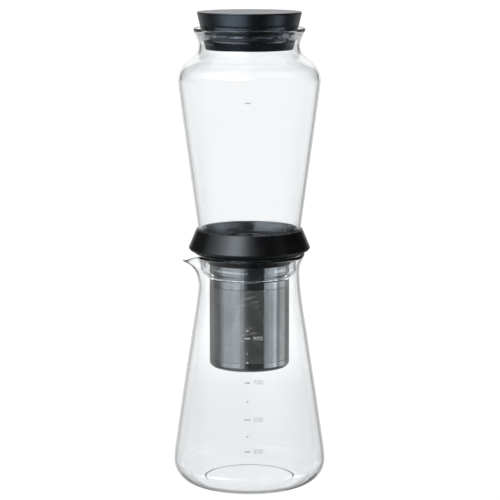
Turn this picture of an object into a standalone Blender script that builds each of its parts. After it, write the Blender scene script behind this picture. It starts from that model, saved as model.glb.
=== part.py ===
"""Slow-drip cold brew coffee maker: a glass server, a steel strainer hanging in its neck in a black
collar, a glass water bowl in a black holder ring with a drip nozzle, and a tapered black lid.

Frame: metres, +Z up, origin on the axis at the surface the server stands on, spout towards -X.
An outline is a list of (radius, height) pairs that is turned round the Z axis.
"""
import math

import bmesh
import bpy

MM = 0.001

# Fits shared by every piece
SEAT_GAP = 0.3 * MM
RUNNING_GAP = 0.5 * MM
OVERRUN = 1.0 * MM
MERGE_DISTANCE = 0.01 * MM

# Glass server
GLASS_WALL = 2.0 * MM
SERVER_FLOOR = 3.0 * MM
SERVER_FOOT_RADIUS = 40.6 * MM
SERVER_FOOT_LAND = 6.0 * MM
SERVER_FOOT_RECESS = 0.8 * MM
SERVER_BELLY_RADIUS = 57.85 * MM
SERVER_CORNER_HEIGHT = 17.2 * MM
SERVER_FLANK_HEIGHT = 146.8 * MM
SERVER_WAIST_RADIUS = 38.1 * MM
SERVER_LIP_HEIGHT = 13.3 * MM
SERVER_RIM_RADIUS = 42.0 * MM
SPOUT_REACH = 9.1 * MM
SPOUT_DROOP = 5.9 * MM
SPOUT_HEIGHT = 25.0 * MM
SPOUT_HALF_ANGLE = math.radians(30.0)

# Strainer and its collar
STRAINER_NECK_CLEARANCE = 5.7 * MM
STEEL_WALL = 0.8 * MM
STRAINER_BAND_HEIGHT = 22.4 * MM
STRAINER_SCREEN_HEIGHT = 55.6 * MM
STRAINER_CUP_HEIGHT = 6.7 * MM
STRAINER_CUP_CORNER = 3.0 * MM
STRAINER_LIP_WIDTH = 2.5 * MM
SCREEN_HOLE_WIDTH_SHARE = 0.56
SCREEN_HOLE_HEIGHT_SHARE = 0.56
DRAIN_HOLE_RADIUS = 1.6 * MM
DRAIN_RING_PITCH = 9.6 * MM
COLLAR_TIP_WALL = 1.1 * MM
COLLAR_TIP_DROP = 8.5 * MM
COLLAR_SHELF_DROP = 4.4 * MM
COLLAR_FLANGE_THICKNESS = 1.8 * MM
COLLAR_FLANGE_INSET = 0.7 * MM
COLLAR_LIP_WIDTH = 1.0 * MM
COLLAR_PACKING_THICKNESS = 1.2 * MM
COLLAR_PACKING_WALL = 1.7 * MM
COLLAR_PACKING_DROP = 18.6 * MM
COLLAR_PACKING_FLARE = 4.8 * MM
COLLAR_PACKING_TAPER = 4.1 * MM
COLLAR_PACKING_MOUTH_CLEARANCE = 1.1 * MM
COLLAR_PACKING_WAIST_CLEARANCE = 0.7 * MM

# Water spreader
SPREADER_SHEET = 0.6 * MM
SPREADER_DEPTH = 11.0 * MM
SPREADER_CORNER = 2.0 * MM

# Holder ring
HOLDER_FLOOR = 2.0 * MM
HOLDER_SKIRT_DROP = 1.2 * MM
HOLDER_SKIRT_CLEARANCE = 0.4 * MM
HOLDER_SKIRT_WIDTH = 4.5 * MM
HOLDER_SKIRT_CORNER = 1.6 * MM
HOLDER_HEIGHT = 14.8 * MM
HOLDER_RIM_WALL = 1.1 * MM
HOLDER_RIM_ROUNDING = 0.3 * MM

# Glass water bowl
BOWL_FLOOR = 2.5 * MM
BOWL_FOOT_RADIUS = 37.4 * MM
BOWL_FOOT_CORNER = 5.0 * MM
BOWL_FLANK_HEIGHT = 124.7 * MM
BOWL_SHOULDER_RADIUS = 53.4 * MM
BOWL_SHOULDER_HEIGHT = 25.8 * MM
BOWL_NECK_RADIUS = 38.2 * MM
BOWL_LIP_HEIGHT = 12.1 * MM
BOWL_RIM_RADIUS = 42.1 * MM
BOWL_PACKING_THICKNESS = 1.2 * MM
BOWL_PACKING_WIDTH = 8.0 * MM

# Drip nozzle
NOZZLE_STEM_RADIUS = 6.0 * MM
NOZZLE_BORE_RADIUS = 1.0 * MM
NOZZLE_INLET_RADIUS = 4.0 * MM
NOZZLE_INLET_DEPTH = 3.0 * MM
NOZZLE_FLANGE_WIDTH = 5.0 * MM
NOZZLE_FLANGE_THICKNESS = 2.0 * MM
NOZZLE_TIP_RADIUS = 2.4 * MM
NOZZLE_TIP_HEIGHT = 4.0 * MM
NOZZLE_PACKING_THICKNESS = 1.0 * MM
NOZZLE_PACKING_WIDTH = 4.0 * MM
NUT_THICKNESS = 4.0 * MM
NUT_WALL = 3.4 * MM
NUT_BEVEL = 0.4 * MM

# Lid
LID_HEIGHT = 28.2 * MM
LID_DEPTH = 16.1 * MM
LID_RIM_SETBACK = 2.3 * MM
LID_NECK_CLEARANCE = 3.4 * MM
LID_WALL = 2.2 * MM
LID_TOP_THICKNESS = 2.5 * MM
LID_EDGE_ROUNDING = 1.2 * MM
LID_PACKING_THICKNESS = 4.4 * MM
LID_PACKING_RISE = 6.2 * MM
LID_PACKING_GROOVE = 1.0 * MM
LID_PACKING_LIP = 0.9 * MM
LID_PACKING_WAIST = 0.7 * MM

# Numbers of facets and copies
ROUND_STEPS = 36
SMALL_STEPS = 24
CORNER_STEPS = 4
SCREEN_COLUMNS = 20
SCREEN_ROWS = 7
DRAIN_RINGS = 2
SMOOTH_ANGLE = math.radians(30.0)

# Forms of the drawn glass: (share of the height, share of the change in radius)
SERVER_FLANK_SHARES = ((0.08, 0.055), (0.22, 0.205), (0.71, 0.757), (0.85, 0.91), (0.94, 0.978))
SERVER_LIP_SHARES = ((0.32, 0.14), (0.54, 0.44), (0.77, 0.77))
BOWL_FLANK_SHARES = ((0.82, 0.85), (0.92, 0.945), (0.965, 0.988))
BOWL_SHOULDER_SHARES = ((0.17, 0.04), (0.29, 0.14), (0.40, 0.27), (0.52, 0.487), (0.64, 0.75),
                        (0.78, 0.94))
BOWL_LIP_SHARES = ((0.22, 0.06), (0.46, 0.40), (0.70, 0.72))
SPOUT_PUSH_SHARE_POWER = 1.5
SPOUT_DROOP_SHARE_POWER = 2.5
SPOUT_WIDTH_SHARE_POWER = 1.3


# Outlines

def between(start, end, shares):
    """Points from start to end, each share giving how far up and how far across it lies."""
    return [(start[0] + (end[0] - start[0]) * across, start[1] + (end[1] - start[1]) * up)
            for up, across in shares]


def quarter_round(start, end, corner, steps):
    """An elliptic quarter round from start to end that keeps towards the given corner."""
    centre = (start[0] + end[0] - corner[0], start[1] + end[1] - corner[1])
    points = []
    for step in range(steps + 1):
        angle = 0.5 * math.pi * step / steps
        radius = centre[0] + (start[0] - centre[0]) * math.cos(angle) + (end[0] - centre[0]) * math.sin(angle)
        height = centre[1] + (start[1] - centre[1]) * math.cos(angle) + (end[1] - centre[1]) * math.sin(angle)
        points.append((radius, height))
    return points


def inset(outline, wall):
    """The outline moved inwards by the wall, for one that runs down the outer side."""
    moved = []
    last = len(outline) - 1
    for index, (radius, height) in enumerate(outline):
        before = outline[max(index - 1, 0)]
        after = outline[min(index + 1, last)]
        across = after[0] - before[0]
        down = after[1] - before[1]
        length = math.hypot(across, down)
        moved.append((radius + wall * down / length, height - wall * across / length))
    return moved


def radius_at(outline, height):
    """Radius of an outline at a height, on the first stretch that crosses it."""
    for (radius_a, height_a), (radius_b, height_b) in zip(outline, outline[1:]):
        if min(height_a, height_b) <= height <= max(height_a, height_b) and height_a != height_b:
            share = (height - height_a) / (height_b - height_a)
            return radius_a + (radius_b - radius_a) * share
    return outline[0][0]


# Heights of the seats, from the table upwards

SERVER_WAIST_HEIGHT = SERVER_CORNER_HEIGHT + SERVER_FLANK_HEIGHT
SERVER_HEIGHT = SERVER_WAIST_HEIGHT + SERVER_LIP_HEIGHT
COLLAR_PACKING_SEAT = SERVER_HEIGHT + SEAT_GAP
COLLAR_PACKING_TOP = COLLAR_PACKING_SEAT + COLLAR_PACKING_THICKNESS
COLLAR_PACKING_BASE = COLLAR_PACKING_SEAT - COLLAR_PACKING_DROP
COLLAR_FLANGE_BASE = COLLAR_PACKING_TOP + SEAT_GAP
COLLAR_TOP = COLLAR_FLANGE_BASE + COLLAR_FLANGE_THICKNESS
COLLAR_SHELF = COLLAR_FLANGE_BASE - COLLAR_SHELF_DROP
COLLAR_TIP = COLLAR_FLANGE_BASE - COLLAR_TIP_DROP
STRAINER_LIP_BASE = COLLAR_SHELF + SEAT_GAP
STRAINER_TOP = STRAINER_LIP_BASE + STEEL_WALL
SPREADER_LIP_BASE = STRAINER_TOP + SEAT_GAP
BAND_BASE = STRAINER_TOP - STRAINER_BAND_HEIGHT
SCREEN_TOP = BAND_BASE - SEAT_GAP
SCREEN_BASE = SCREEN_TOP - STRAINER_SCREEN_HEIGHT
CUP_TOP = SCREEN_BASE - SEAT_GAP
CUP_BASE = CUP_TOP - STRAINER_CUP_HEIGHT
HOLDER_FLOOR_BASE = COLLAR_TOP + SEAT_GAP
HOLDER_FLOOR_TOP = HOLDER_FLOOR_BASE + HOLDER_FLOOR
HOLDER_SKIRT_BASE = HOLDER_FLOOR_BASE - HOLDER_SKIRT_DROP
HOLDER_TOP = HOLDER_FLOOR_BASE + HOLDER_HEIGHT
BOWL_PACKING_BASE = HOLDER_FLOOR_TOP + SEAT_GAP
BOWL_BASE = BOWL_PACKING_BASE + BOWL_PACKING_THICKNESS + SEAT_GAP
BOWL_INNER_FLOOR = BOWL_BASE + BOWL_FLOOR
BOWL_SHOULDER = BOWL_BASE + BOWL_FLANK_HEIGHT
BOWL_NECK = BOWL_SHOULDER + BOWL_SHOULDER_HEIGHT
BOWL_TOP = BOWL_NECK + BOWL_LIP_HEIGHT
NOZZLE_PACKING_BASE = BOWL_INNER_FLOOR + SEAT_GAP
NOZZLE_FLANGE_BASE = NOZZLE_PACKING_BASE + NOZZLE_PACKING_THICKNESS + SEAT_GAP
NOZZLE_TOP = NOZZLE_FLANGE_BASE + NOZZLE_FLANGE_THICKNESS
NUT_TOP = HOLDER_FLOOR_BASE - SEAT_GAP
NUT_BASE = NUT_TOP - NUT_THICKNESS
LID_BASE = BOWL_TOP - LID_DEPTH
LID_TOP = LID_BASE + LID_HEIGHT
LID_PACKING_BASE = BOWL_NECK + LID_PACKING_RISE - 0.5 * LID_PACKING_THICKNESS

# Radii of the seats

STRAINER_RADIUS = SERVER_WAIST_RADIUS - GLASS_WALL - STRAINER_NECK_CLEARANCE
STRAINER_BORE = STRAINER_RADIUS - STEEL_WALL
STRAINER_LIP_RADIUS = STRAINER_RADIUS + STRAINER_LIP_WIDTH
COLLAR_BORE = STRAINER_RADIUS + SEAT_GAP
COLLAR_COUNTERBORE = STRAINER_LIP_RADIUS + SEAT_GAP
COLLAR_TIP_RADIUS = COLLAR_BORE + COLLAR_TIP_WALL
COLLAR_FLANGE_RADIUS = SERVER_RIM_RADIUS - COLLAR_FLANGE_INSET
COLLAR_LIP_BORE = COLLAR_FLANGE_RADIUS - COLLAR_LIP_WIDTH
COLLAR_PACKING_MOUTH_RADIUS = SERVER_RIM_RADIUS - GLASS_WALL - COLLAR_PACKING_MOUTH_CLEARANCE
COLLAR_PACKING_WAIST_RADIUS = SERVER_WAIST_RADIUS - GLASS_WALL - COLLAR_PACKING_WAIST_CLEARANCE
COLLAR_PACKING_BORE = COLLAR_PACKING_MOUTH_RADIUS - COLLAR_PACKING_WALL + SEAT_GAP
COLLAR_CONE_RADIUS = COLLAR_PACKING_BORE - RUNNING_GAP
HOLDER_SKIRT_BORE = COLLAR_FLANGE_RADIUS + HOLDER_SKIRT_CLEARANCE
HOLDER_SKIRT_RADIUS = HOLDER_SKIRT_BORE + HOLDER_SKIRT_WIDTH
NOZZLE_HOLE_RADIUS = NOZZLE_STEM_RADIUS + RUNNING_GAP
NOZZLE_FLANGE_RADIUS = NOZZLE_STEM_RADIUS + NOZZLE_FLANGE_WIDTH
LID_BASE_RADIUS = BOWL_NECK_RADIUS - GLASS_WALL - LID_NECK_CLEARANCE
LID_TOP_RADIUS = BOWL_RIM_RADIUS - LID_RIM_SETBACK


# Scene, materials and mesh helpers

def clear_scene():
    """Remove every object that the file holds at the start."""
    for thing in list(bpy.data.objects):
        bpy.data.objects.remove(thing, do_unlink=True)


def new_collection(name):
    """A collection linked to the scene."""
    group = bpy.data.collections.new(name)
    bpy.context.scene.collection.children.link(group)
    return group


def new_material(name, colour, roughness, metallic=0.0, transmission=0.0, ior=1.45):
    """A Principled material."""
    material = bpy.data.materials.new(name)
    material.use_nodes = True
    shader = material.node_tree.nodes["Principled BSDF"]
    shader.inputs["Base Color"].default_value = (*colour, 1.0)
    shader.inputs["Roughness"].default_value = roughness
    shader.inputs["Metallic"].default_value = metallic
    shader.inputs["Transmission Weight"].default_value = transmission
    shader.inputs["IOR"].default_value = ior
    material.diffuse_color = (*colour, 1.0)
    return material


def place(name, mesh, material, group):
    """An object for the mesh, smooth over its round faces and sharp at its edges."""
    mesh.name = name
    mesh.materials.clear()
    mesh.materials.append(material)
    mesh.shade_smooth()
    mesh.set_sharp_from_angle(angle=SMOOTH_ANGLE)
    thing = bpy.data.objects.new(name, mesh)
    group.objects.link(thing)
    return thing


def evaluated_mesh(thing):
    """A mesh of the object as its modifiers leave it, with the object itself removed."""
    bpy.context.view_layer.update()
    result = bpy.data.meshes.new_from_object(thing.evaluated_get(bpy.context.evaluated_depsgraph_get()))
    bpy.data.objects.remove(thing, do_unlink=True)
    return result


def turn(outline, steps=ROUND_STEPS, closed=True):
    """The outline turned round the Z axis. It runs up its inner side and down its outer side."""
    profile = bpy.data.meshes.new("profile")
    edges = [(index, index + 1) for index in range(len(outline) - 1)]
    if closed:
        edges.append((len(outline) - 1, 0))
    profile.from_pydata([(radius, 0.0, height) for radius, height in outline], edges, [])
    thing = bpy.data.objects.new("profile", profile)
    bpy.context.scene.collection.objects.link(thing)
    screw = thing.modifiers.new("Turn", "SCREW")
    screw.axis = "Z"
    screw.angle = 2.0 * math.pi
    screw.steps = steps
    screw.render_steps = steps
    screw.use_merge_vertices = True
    screw.merge_threshold = MERGE_DISTANCE
    return evaluated_mesh(thing)


def hole_cutter(name, places, radius, low, high, group, sides):
    """Upright round cutters at the places, from low to high, as one hidden object."""
    shape = bmesh.new()
    for across, along in places:
        added = bmesh.ops.create_cone(shape, cap_ends=True, segments=sides, radius1=radius,
                                      radius2=radius, depth=high - low)
        bmesh.ops.translate(shape, verts=added["verts"], vec=(across, along, 0.5 * (low + high)))
    mesh = bpy.data.meshes.new(name)
    shape.to_mesh(mesh)
    shape.free()
    cutter = bpy.data.objects.new(name, mesh)
    cutter.hide_render = True
    cutter.display_type = "WIRE"
    group.objects.link(cutter)
    return cutter


def cut(thing, cutter):
    """Cut one object by another."""
    boolean = thing.modifiers.new("Cut", "BOOLEAN")
    boolean.operation = "DIFFERENCE"
    boolean.solver = "EXACT"
    boolean.object = cutter


def ringed_places(rings, pitch):
    """Hole centres on rings about the axis, six more on each ring than on the one inside it."""
    places = [(0.0, 0.0)]
    for ring in range(1, rings + 1):
        for index in range(6 * ring):
            angle = 2.0 * math.pi * index / (6 * ring)
            places.append((ring * pitch * math.cos(angle), ring * pitch * math.sin(angle)))
    return places


# Glass outlines

def rounded_rim(outer):
    """The drawn edge of a glass: the outer side's top point, the crown and the inner side's top."""
    radius, height = outer[0]
    half = 0.5 * GLASS_WALL
    return [(radius - GLASS_WALL, height - half), (radius - half, height), (radius, height - half)]


def server_outer():
    """Outer side of the server from its rim to its foot."""
    rim = (SERVER_RIM_RADIUS, SERVER_HEIGHT)
    waist = (SERVER_WAIST_RADIUS, SERVER_WAIST_HEIGHT)
    belly = (SERVER_BELLY_RADIUS, SERVER_CORNER_HEIGHT)
    foot = (SERVER_FOOT_RADIUS, 0.0)
    lip = between(waist, rim, reversed(SERVER_LIP_SHARES))
    flank = between(belly, waist, reversed(SERVER_FLANK_SHARES))
    corner = quarter_round(belly, foot, (belly[0], foot[1]), CORNER_STEPS)
    return [rim, *lip, waist, *flank, *corner]


def bowl_outer():
    """Outer side of the water bowl from its rim to its foot."""
    rim = (BOWL_RIM_RADIUS, BOWL_TOP)
    neck = (BOWL_NECK_RADIUS, BOWL_NECK)
    shoulder = (BOWL_SHOULDER_RADIUS, BOWL_SHOULDER)
    foot = (BOWL_FOOT_RADIUS, BOWL_BASE)
    lip = between(neck, rim, reversed(BOWL_LIP_SHARES))
    slope = between(shoulder, neck, reversed(BOWL_SHOULDER_SHARES))
    flank = between(foot, shoulder, reversed(BOWL_FLANK_SHARES))
    lean = (shoulder[0] - foot[0]) / (shoulder[1] - foot[1])
    start = (foot[0] + lean * BOWL_FOOT_CORNER, foot[1] + BOWL_FOOT_CORNER)
    end = (foot[0] - BOWL_FOOT_CORNER, foot[1])
    return [rim, *lip, neck, *slope, shoulder, *flank, *quarter_round(start, end, foot, CORNER_STEPS - 1)]


def pull_spout(mesh):
    """Draw the lip out and down into a pouring beak on the -X side, fading out below and sideways."""
    start = SERVER_HEIGHT - SPOUT_HEIGHT
    for vertex in mesh.vertices:
        height_share = (vertex.co.z - start) / SPOUT_HEIGHT
        turn_share = abs(math.atan2(vertex.co.y, -vertex.co.x)) / SPOUT_HALF_ANGLE
        if height_share <= 0.0 or turn_share >= 1.0:
            continue
        width_share = (0.5 + 0.5 * math.cos(math.pi * turn_share)) ** SPOUT_WIDTH_SHARE_POWER
        radius = math.hypot(vertex.co.x, vertex.co.y)
        push = SPOUT_REACH * width_share * height_share ** SPOUT_PUSH_SHARE_POWER
        vertex.co.x *= (radius + push) / radius
        vertex.co.y *= (radius + push * (1.0 - 0.5 * width_share)) / radius
        vertex.co.z -= SPOUT_DROOP * width_share * height_share ** SPOUT_DROOP_SHARE_POWER


# Sub-assemblies

def build_server(group, glass):
    """The glass server with its recessed foot and pulled spout."""
    outer = server_outer()
    inner = inset(outer, GLASS_WALL)
    inner = [point for point in inner if point[1] > SERVER_FLOOR]
    land = SERVER_FOOT_RADIUS - SERVER_FOOT_LAND
    floor_edge = (inner[-1][0] - GLASS_WALL, SERVER_FLOOR)
    recess = (land - SERVER_FOOT_RECESS, SERVER_FOOT_RECESS)
    outline = [(0.0, SERVER_FLOOR), floor_edge, *reversed(inner[1:]), *rounded_rim(outer), *outer[1:],
               (land, 0.0), recess, (0.0, SERVER_FOOT_RECESS)]
    mesh = turn(outline, closed=False)
    pull_spout(mesh)
    place("server_glass", mesh, glass, group)


def build_collar(group, plastic, silicone):
    """The funnel-shaped collar that hangs the strainer in the server's mouth, and its clear packing,
    a sleeve that follows the glass neck and closes on the strainer below."""
    collar = [(COLLAR_BORE, COLLAR_TIP), (COLLAR_BORE, COLLAR_SHELF),
              (COLLAR_COUNTERBORE, COLLAR_SHELF), (COLLAR_COUNTERBORE, COLLAR_TOP),
              (COLLAR_FLANGE_RADIUS - SEAT_GAP, COLLAR_TOP), (COLLAR_FLANGE_RADIUS, COLLAR_TOP - SEAT_GAP),
              (COLLAR_FLANGE_RADIUS, COLLAR_PACKING_SEAT), (COLLAR_LIP_BORE, COLLAR_PACKING_SEAT),
              (COLLAR_LIP_BORE, COLLAR_FLANGE_BASE), (COLLAR_CONE_RADIUS, COLLAR_FLANGE_BASE),
              (COLLAR_TIP_RADIUS, COLLAR_TIP)]
    place("strainer_collar", turn(collar), plastic, group)

    flange_radius = COLLAR_LIP_BORE - SEAT_GAP
    inner_waist = COLLAR_PACKING_WAIST_RADIUS - COLLAR_PACKING_WALL
    flare_base = COLLAR_PACKING_SEAT - COLLAR_PACKING_FLARE
    taper_top = COLLAR_PACKING_BASE + COLLAR_PACKING_TAPER
    half_wall = 0.5 * COLLAR_PACKING_WALL
    packing = [(COLLAR_BORE, COLLAR_PACKING_BASE), (COLLAR_BORE, COLLAR_PACKING_BASE + COLLAR_PACKING_WALL),
               (inner_waist, taper_top + half_wall), (inner_waist, flare_base - SEAT_GAP),
               (COLLAR_PACKING_BORE, COLLAR_PACKING_TOP), (flange_radius, COLLAR_PACKING_TOP),
               (flange_radius, COLLAR_PACKING_SEAT), (COLLAR_PACKING_MOUTH_RADIUS, COLLAR_PACKING_SEAT),
               (COLLAR_PACKING_WAIST_RADIUS, flare_base), (COLLAR_PACKING_WAIST_RADIUS, taper_top),
               (COLLAR_BORE + SEAT_GAP, COLLAR_PACKING_BASE)]
    place("collar_packing", turn(packing), silicone, group)


def build_screen():
    """Perforated sleeve: a grid with every second cell open, wrapped round the axis."""
    columns = 2 * SCREEN_COLUMNS
    rows = 2 * SCREEN_ROWS + 1
    shape = bmesh.new()
    bmesh.ops.create_grid(shape, x_segments=columns, y_segments=rows, size=0.5)
    for vertex in shape.verts:
        vertex.co.x = round((vertex.co.x + 0.5) * columns)
        vertex.co.y = round((vertex.co.y + 0.5) * rows)
    cells = [(face, face.calc_center_median()) for face in shape.faces]
    open_cells = [face for face, centre in cells if int(centre.x) % 2 == 1 and int(centre.y) % 2 == 1]
    bmesh.ops.delete(shape, geom=open_cells, context="FACES")
    row_pitch = STRAINER_SCREEN_HEIGHT / (SCREEN_ROWS + (1.0 - SCREEN_HOLE_HEIGHT_SHARE))
    for vertex in shape.verts:
        column, column_part = divmod(int(vertex.co.x), 2)
        row, row_part = divmod(int(vertex.co.y), 2)
        around = column + column_part * (1.0 - SCREEN_HOLE_WIDTH_SHARE)
        up = row + row_part * (1.0 - SCREEN_HOLE_HEIGHT_SHARE)
        angle = 2.0 * math.pi * around / SCREEN_COLUMNS
        vertex.co = (STRAINER_RADIUS * math.cos(angle), STRAINER_RADIUS * math.sin(angle),
                     SCREEN_BASE + row_pitch * up)
    bmesh.ops.remove_doubles(shape, verts=shape.verts, dist=MERGE_DISTANCE)
    mesh = bpy.data.meshes.new("screen")
    shape.to_mesh(mesh)
    shape.free()
    return mesh


def build_strainer(group, cutters, steel):
    """The steel strainer: a plain band with a rolled lip, the perforated sleeve and a drained cup."""
    band = [(STRAINER_BORE, BAND_BASE), (STRAINER_BORE, STRAINER_TOP),
            (STRAINER_LIP_RADIUS, STRAINER_TOP), (STRAINER_LIP_RADIUS, STRAINER_LIP_BASE),
            (STRAINER_RADIUS, STRAINER_LIP_BASE), (STRAINER_RADIUS, BAND_BASE)]
    place("strainer_band", turn(band), steel, group)

    screen = place("strainer_screen", build_screen(), steel, group)
    wall = screen.modifiers.new("Wall", "SOLIDIFY")
    wall.thickness = STEEL_WALL
    wall.offset = -1.0

    corner = quarter_round((STRAINER_RADIUS, CUP_BASE + STRAINER_CUP_CORNER),
                           (STRAINER_RADIUS - STRAINER_CUP_CORNER, CUP_BASE),
                           (STRAINER_RADIUS, CUP_BASE), CORNER_STEPS - 1)
    outer = [(STRAINER_RADIUS, CUP_TOP), *corner]
    inner = inset(outer, STEEL_WALL)
    inner[0] = (STRAINER_BORE, CUP_TOP)
    inner[-1] = (inner[-1][0], CUP_BASE + STEEL_WALL)
    cup_outline = [(0.0, CUP_BASE + STEEL_WALL), *reversed(inner), *outer, (0.0, CUP_BASE)]
    cup = place("strainer_cup", turn(cup_outline, closed=False), steel, group)
    holes = hole_cutter("drain_hole_cutter", ringed_places(DRAIN_RINGS, DRAIN_RING_PITCH),
                        DRAIN_HOLE_RADIUS, CUP_BASE - OVERRUN, CUP_BASE + STEEL_WALL + OVERRUN,
                        cutters, 6)
    cut(cup, holes)


def build_spreader(group, cutters, steel):
    """The perforated dish that hangs on the strainer's lip and spreads the drops over the grounds."""
    radius = STRAINER_BORE - SEAT_GAP
    lip_top = SPREADER_LIP_BASE + SPREADER_SHEET
    base = SPREADER_LIP_BASE - SPREADER_DEPTH
    corner = quarter_round((radius, base + SPREADER_CORNER), (radius - SPREADER_CORNER, base),
                           (radius, base), CORNER_STEPS - 2)
    inner = inset([(radius, lip_top), *corner], SPREADER_SHEET)
    inner[-1] = (inner[-1][0], base + SPREADER_SHEET)
    outline = [(0.0, base + SPREADER_SHEET), *reversed(inner[1:]), (radius - SPREADER_SHEET, lip_top),
               (STRAINER_LIP_RADIUS, lip_top), (STRAINER_LIP_RADIUS, SPREADER_LIP_BASE),
               (radius, SPREADER_LIP_BASE), *corner, (0.0, base)]
    plate = place("spreader_plate", turn(outline, closed=False), steel, group)
    holes = hole_cutter("spreader_hole_cutter", ringed_places(DRAIN_RINGS, DRAIN_RING_PITCH),
                        DRAIN_HOLE_RADIUS, base - OVERRUN, base + SPREADER_SHEET + OVERRUN, cutters, 6)
    cut(plate, holes)


def build_holder(group, plastic, silicone):
    """The flared ring that carries the bowl on the collar, and the packing under the glass."""
    glass = bowl_outer()
    rim_bore = radius_at(glass, HOLDER_TOP) + SEAT_GAP
    foot_bore = BOWL_FOOT_RADIUS + SEAT_GAP
    rim_radius = rim_bore + HOLDER_RIM_WALL
    corner = quarter_round((HOLDER_SKIRT_RADIUS, HOLDER_SKIRT_BASE + HOLDER_SKIRT_CORNER),
                           (HOLDER_SKIRT_RADIUS - HOLDER_SKIRT_CORNER, HOLDER_SKIRT_BASE),
                           (HOLDER_SKIRT_RADIUS, HOLDER_SKIRT_BASE), CORNER_STEPS - 1)
    ring = [(NOZZLE_HOLE_RADIUS, HOLDER_FLOOR_BASE), (NOZZLE_HOLE_RADIUS, HOLDER_FLOOR_TOP),
            (foot_bore, HOLDER_FLOOR_TOP), (foot_bore, BOWL_BASE),
            (rim_bore, HOLDER_TOP - HOLDER_RIM_ROUNDING), (rim_bore + HOLDER_RIM_ROUNDING, HOLDER_TOP),
            (rim_radius - HOLDER_RIM_ROUNDING, HOLDER_TOP), (rim_radius, HOLDER_TOP - HOLDER_RIM_ROUNDING),
            *corner, (HOLDER_SKIRT_BORE, HOLDER_SKIRT_BASE), (HOLDER_SKIRT_BORE, HOLDER_FLOOR_BASE)]
    place("holder_ring", turn(ring), plastic, group)

    packing_top = BOWL_PACKING_BASE + BOWL_PACKING_THICKNESS
    packing_outer = BOWL_FOOT_RADIUS - BOWL_FOOT_CORNER
    packing_bore = packing_outer - BOWL_PACKING_WIDTH
    packing = [(packing_bore, BOWL_PACKING_BASE), (packing_bore, packing_top),
               (packing_outer, packing_top), (packing_outer, BOWL_PACKING_BASE)]
    place("bowl_packing", turn(packing), silicone, group)


def build_bowl(group, glass):
    """The glass water bowl with the hole for the nozzle in its floor."""
    outer = bowl_outer()
    inner = [point for point in inset(outer, GLASS_WALL) if point[1] > BOWL_INNER_FLOOR]
    floor_edge = (inner[-1][0] - GLASS_WALL, BOWL_INNER_FLOOR)
    outline = [(NOZZLE_HOLE_RADIUS, BOWL_BASE), (NOZZLE_HOLE_RADIUS, BOWL_INNER_FLOOR), floor_edge,
               *reversed(inner[1:]), *rounded_rim(outer), *outer[1:]]
    place("water_bowl_glass", turn(outline), glass, group)


def build_nozzle(group, plastic, silicone):
    """The drip nozzle through the bowl's floor, its packing and the nut that clamps it."""
    stem_base = NUT_BASE - OVERRUN
    tip = stem_base - NOZZLE_TIP_HEIGHT
    nozzle = [(NOZZLE_BORE_RADIUS, tip), (NOZZLE_BORE_RADIUS, NOZZLE_TOP - NOZZLE_INLET_DEPTH),
              (NOZZLE_INLET_RADIUS, NOZZLE_TOP), (NOZZLE_FLANGE_RADIUS, NOZZLE_TOP),
              (NOZZLE_FLANGE_RADIUS, NOZZLE_FLANGE_BASE), (NOZZLE_STEM_RADIUS, NOZZLE_FLANGE_BASE),
              (NOZZLE_STEM_RADIUS, stem_base), (NOZZLE_TIP_RADIUS, tip)]
    place("drip_nozzle", turn(nozzle, SMALL_STEPS), plastic, group)

    packing_top = NOZZLE_PACKING_BASE + NOZZLE_PACKING_THICKNESS
    packing_outer = NOZZLE_HOLE_RADIUS + NOZZLE_PACKING_WIDTH
    packing = [(NOZZLE_HOLE_RADIUS, NOZZLE_PACKING_BASE), (NOZZLE_HOLE_RADIUS, packing_top),
               (packing_outer, packing_top), (packing_outer, NOZZLE_PACKING_BASE)]
    place("nozzle_packing", turn(packing, SMALL_STEPS), silicone, group)

    nut_bore = NOZZLE_STEM_RADIUS + SEAT_GAP
    shape = bmesh.new()
    bmesh.ops.create_cone(shape, cap_ends=True, segments=6, radius1=nut_bore + NUT_WALL,
                          radius2=nut_bore + NUT_WALL, depth=NUT_THICKNESS)
    bmesh.ops.translate(shape, verts=shape.verts, vec=(0.0, 0.0, 0.5 * (NUT_BASE + NUT_TOP)))
    mesh = bpy.data.meshes.new("nut")
    shape.to_mesh(mesh)
    shape.free()
    return place("nozzle_nut", mesh, plastic, group), nut_bore


def finish_nut(nut, nut_bore, cutters):
    """Bevel the nut's corners and cut its bore."""
    bevel = nut.modifiers.new("Corners", "BEVEL")
    bevel.width = NUT_BEVEL
    bevel.segments = 1
    bevel.limit_method = "ANGLE"
    bore = hole_cutter("nut_bore_cutter", [(0.0, 0.0)], nut_bore, NUT_BASE - OVERRUN,
                       NUT_TOP + OVERRUN, cutters, SMALL_STEPS)
    cut(nut, bore)


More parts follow.
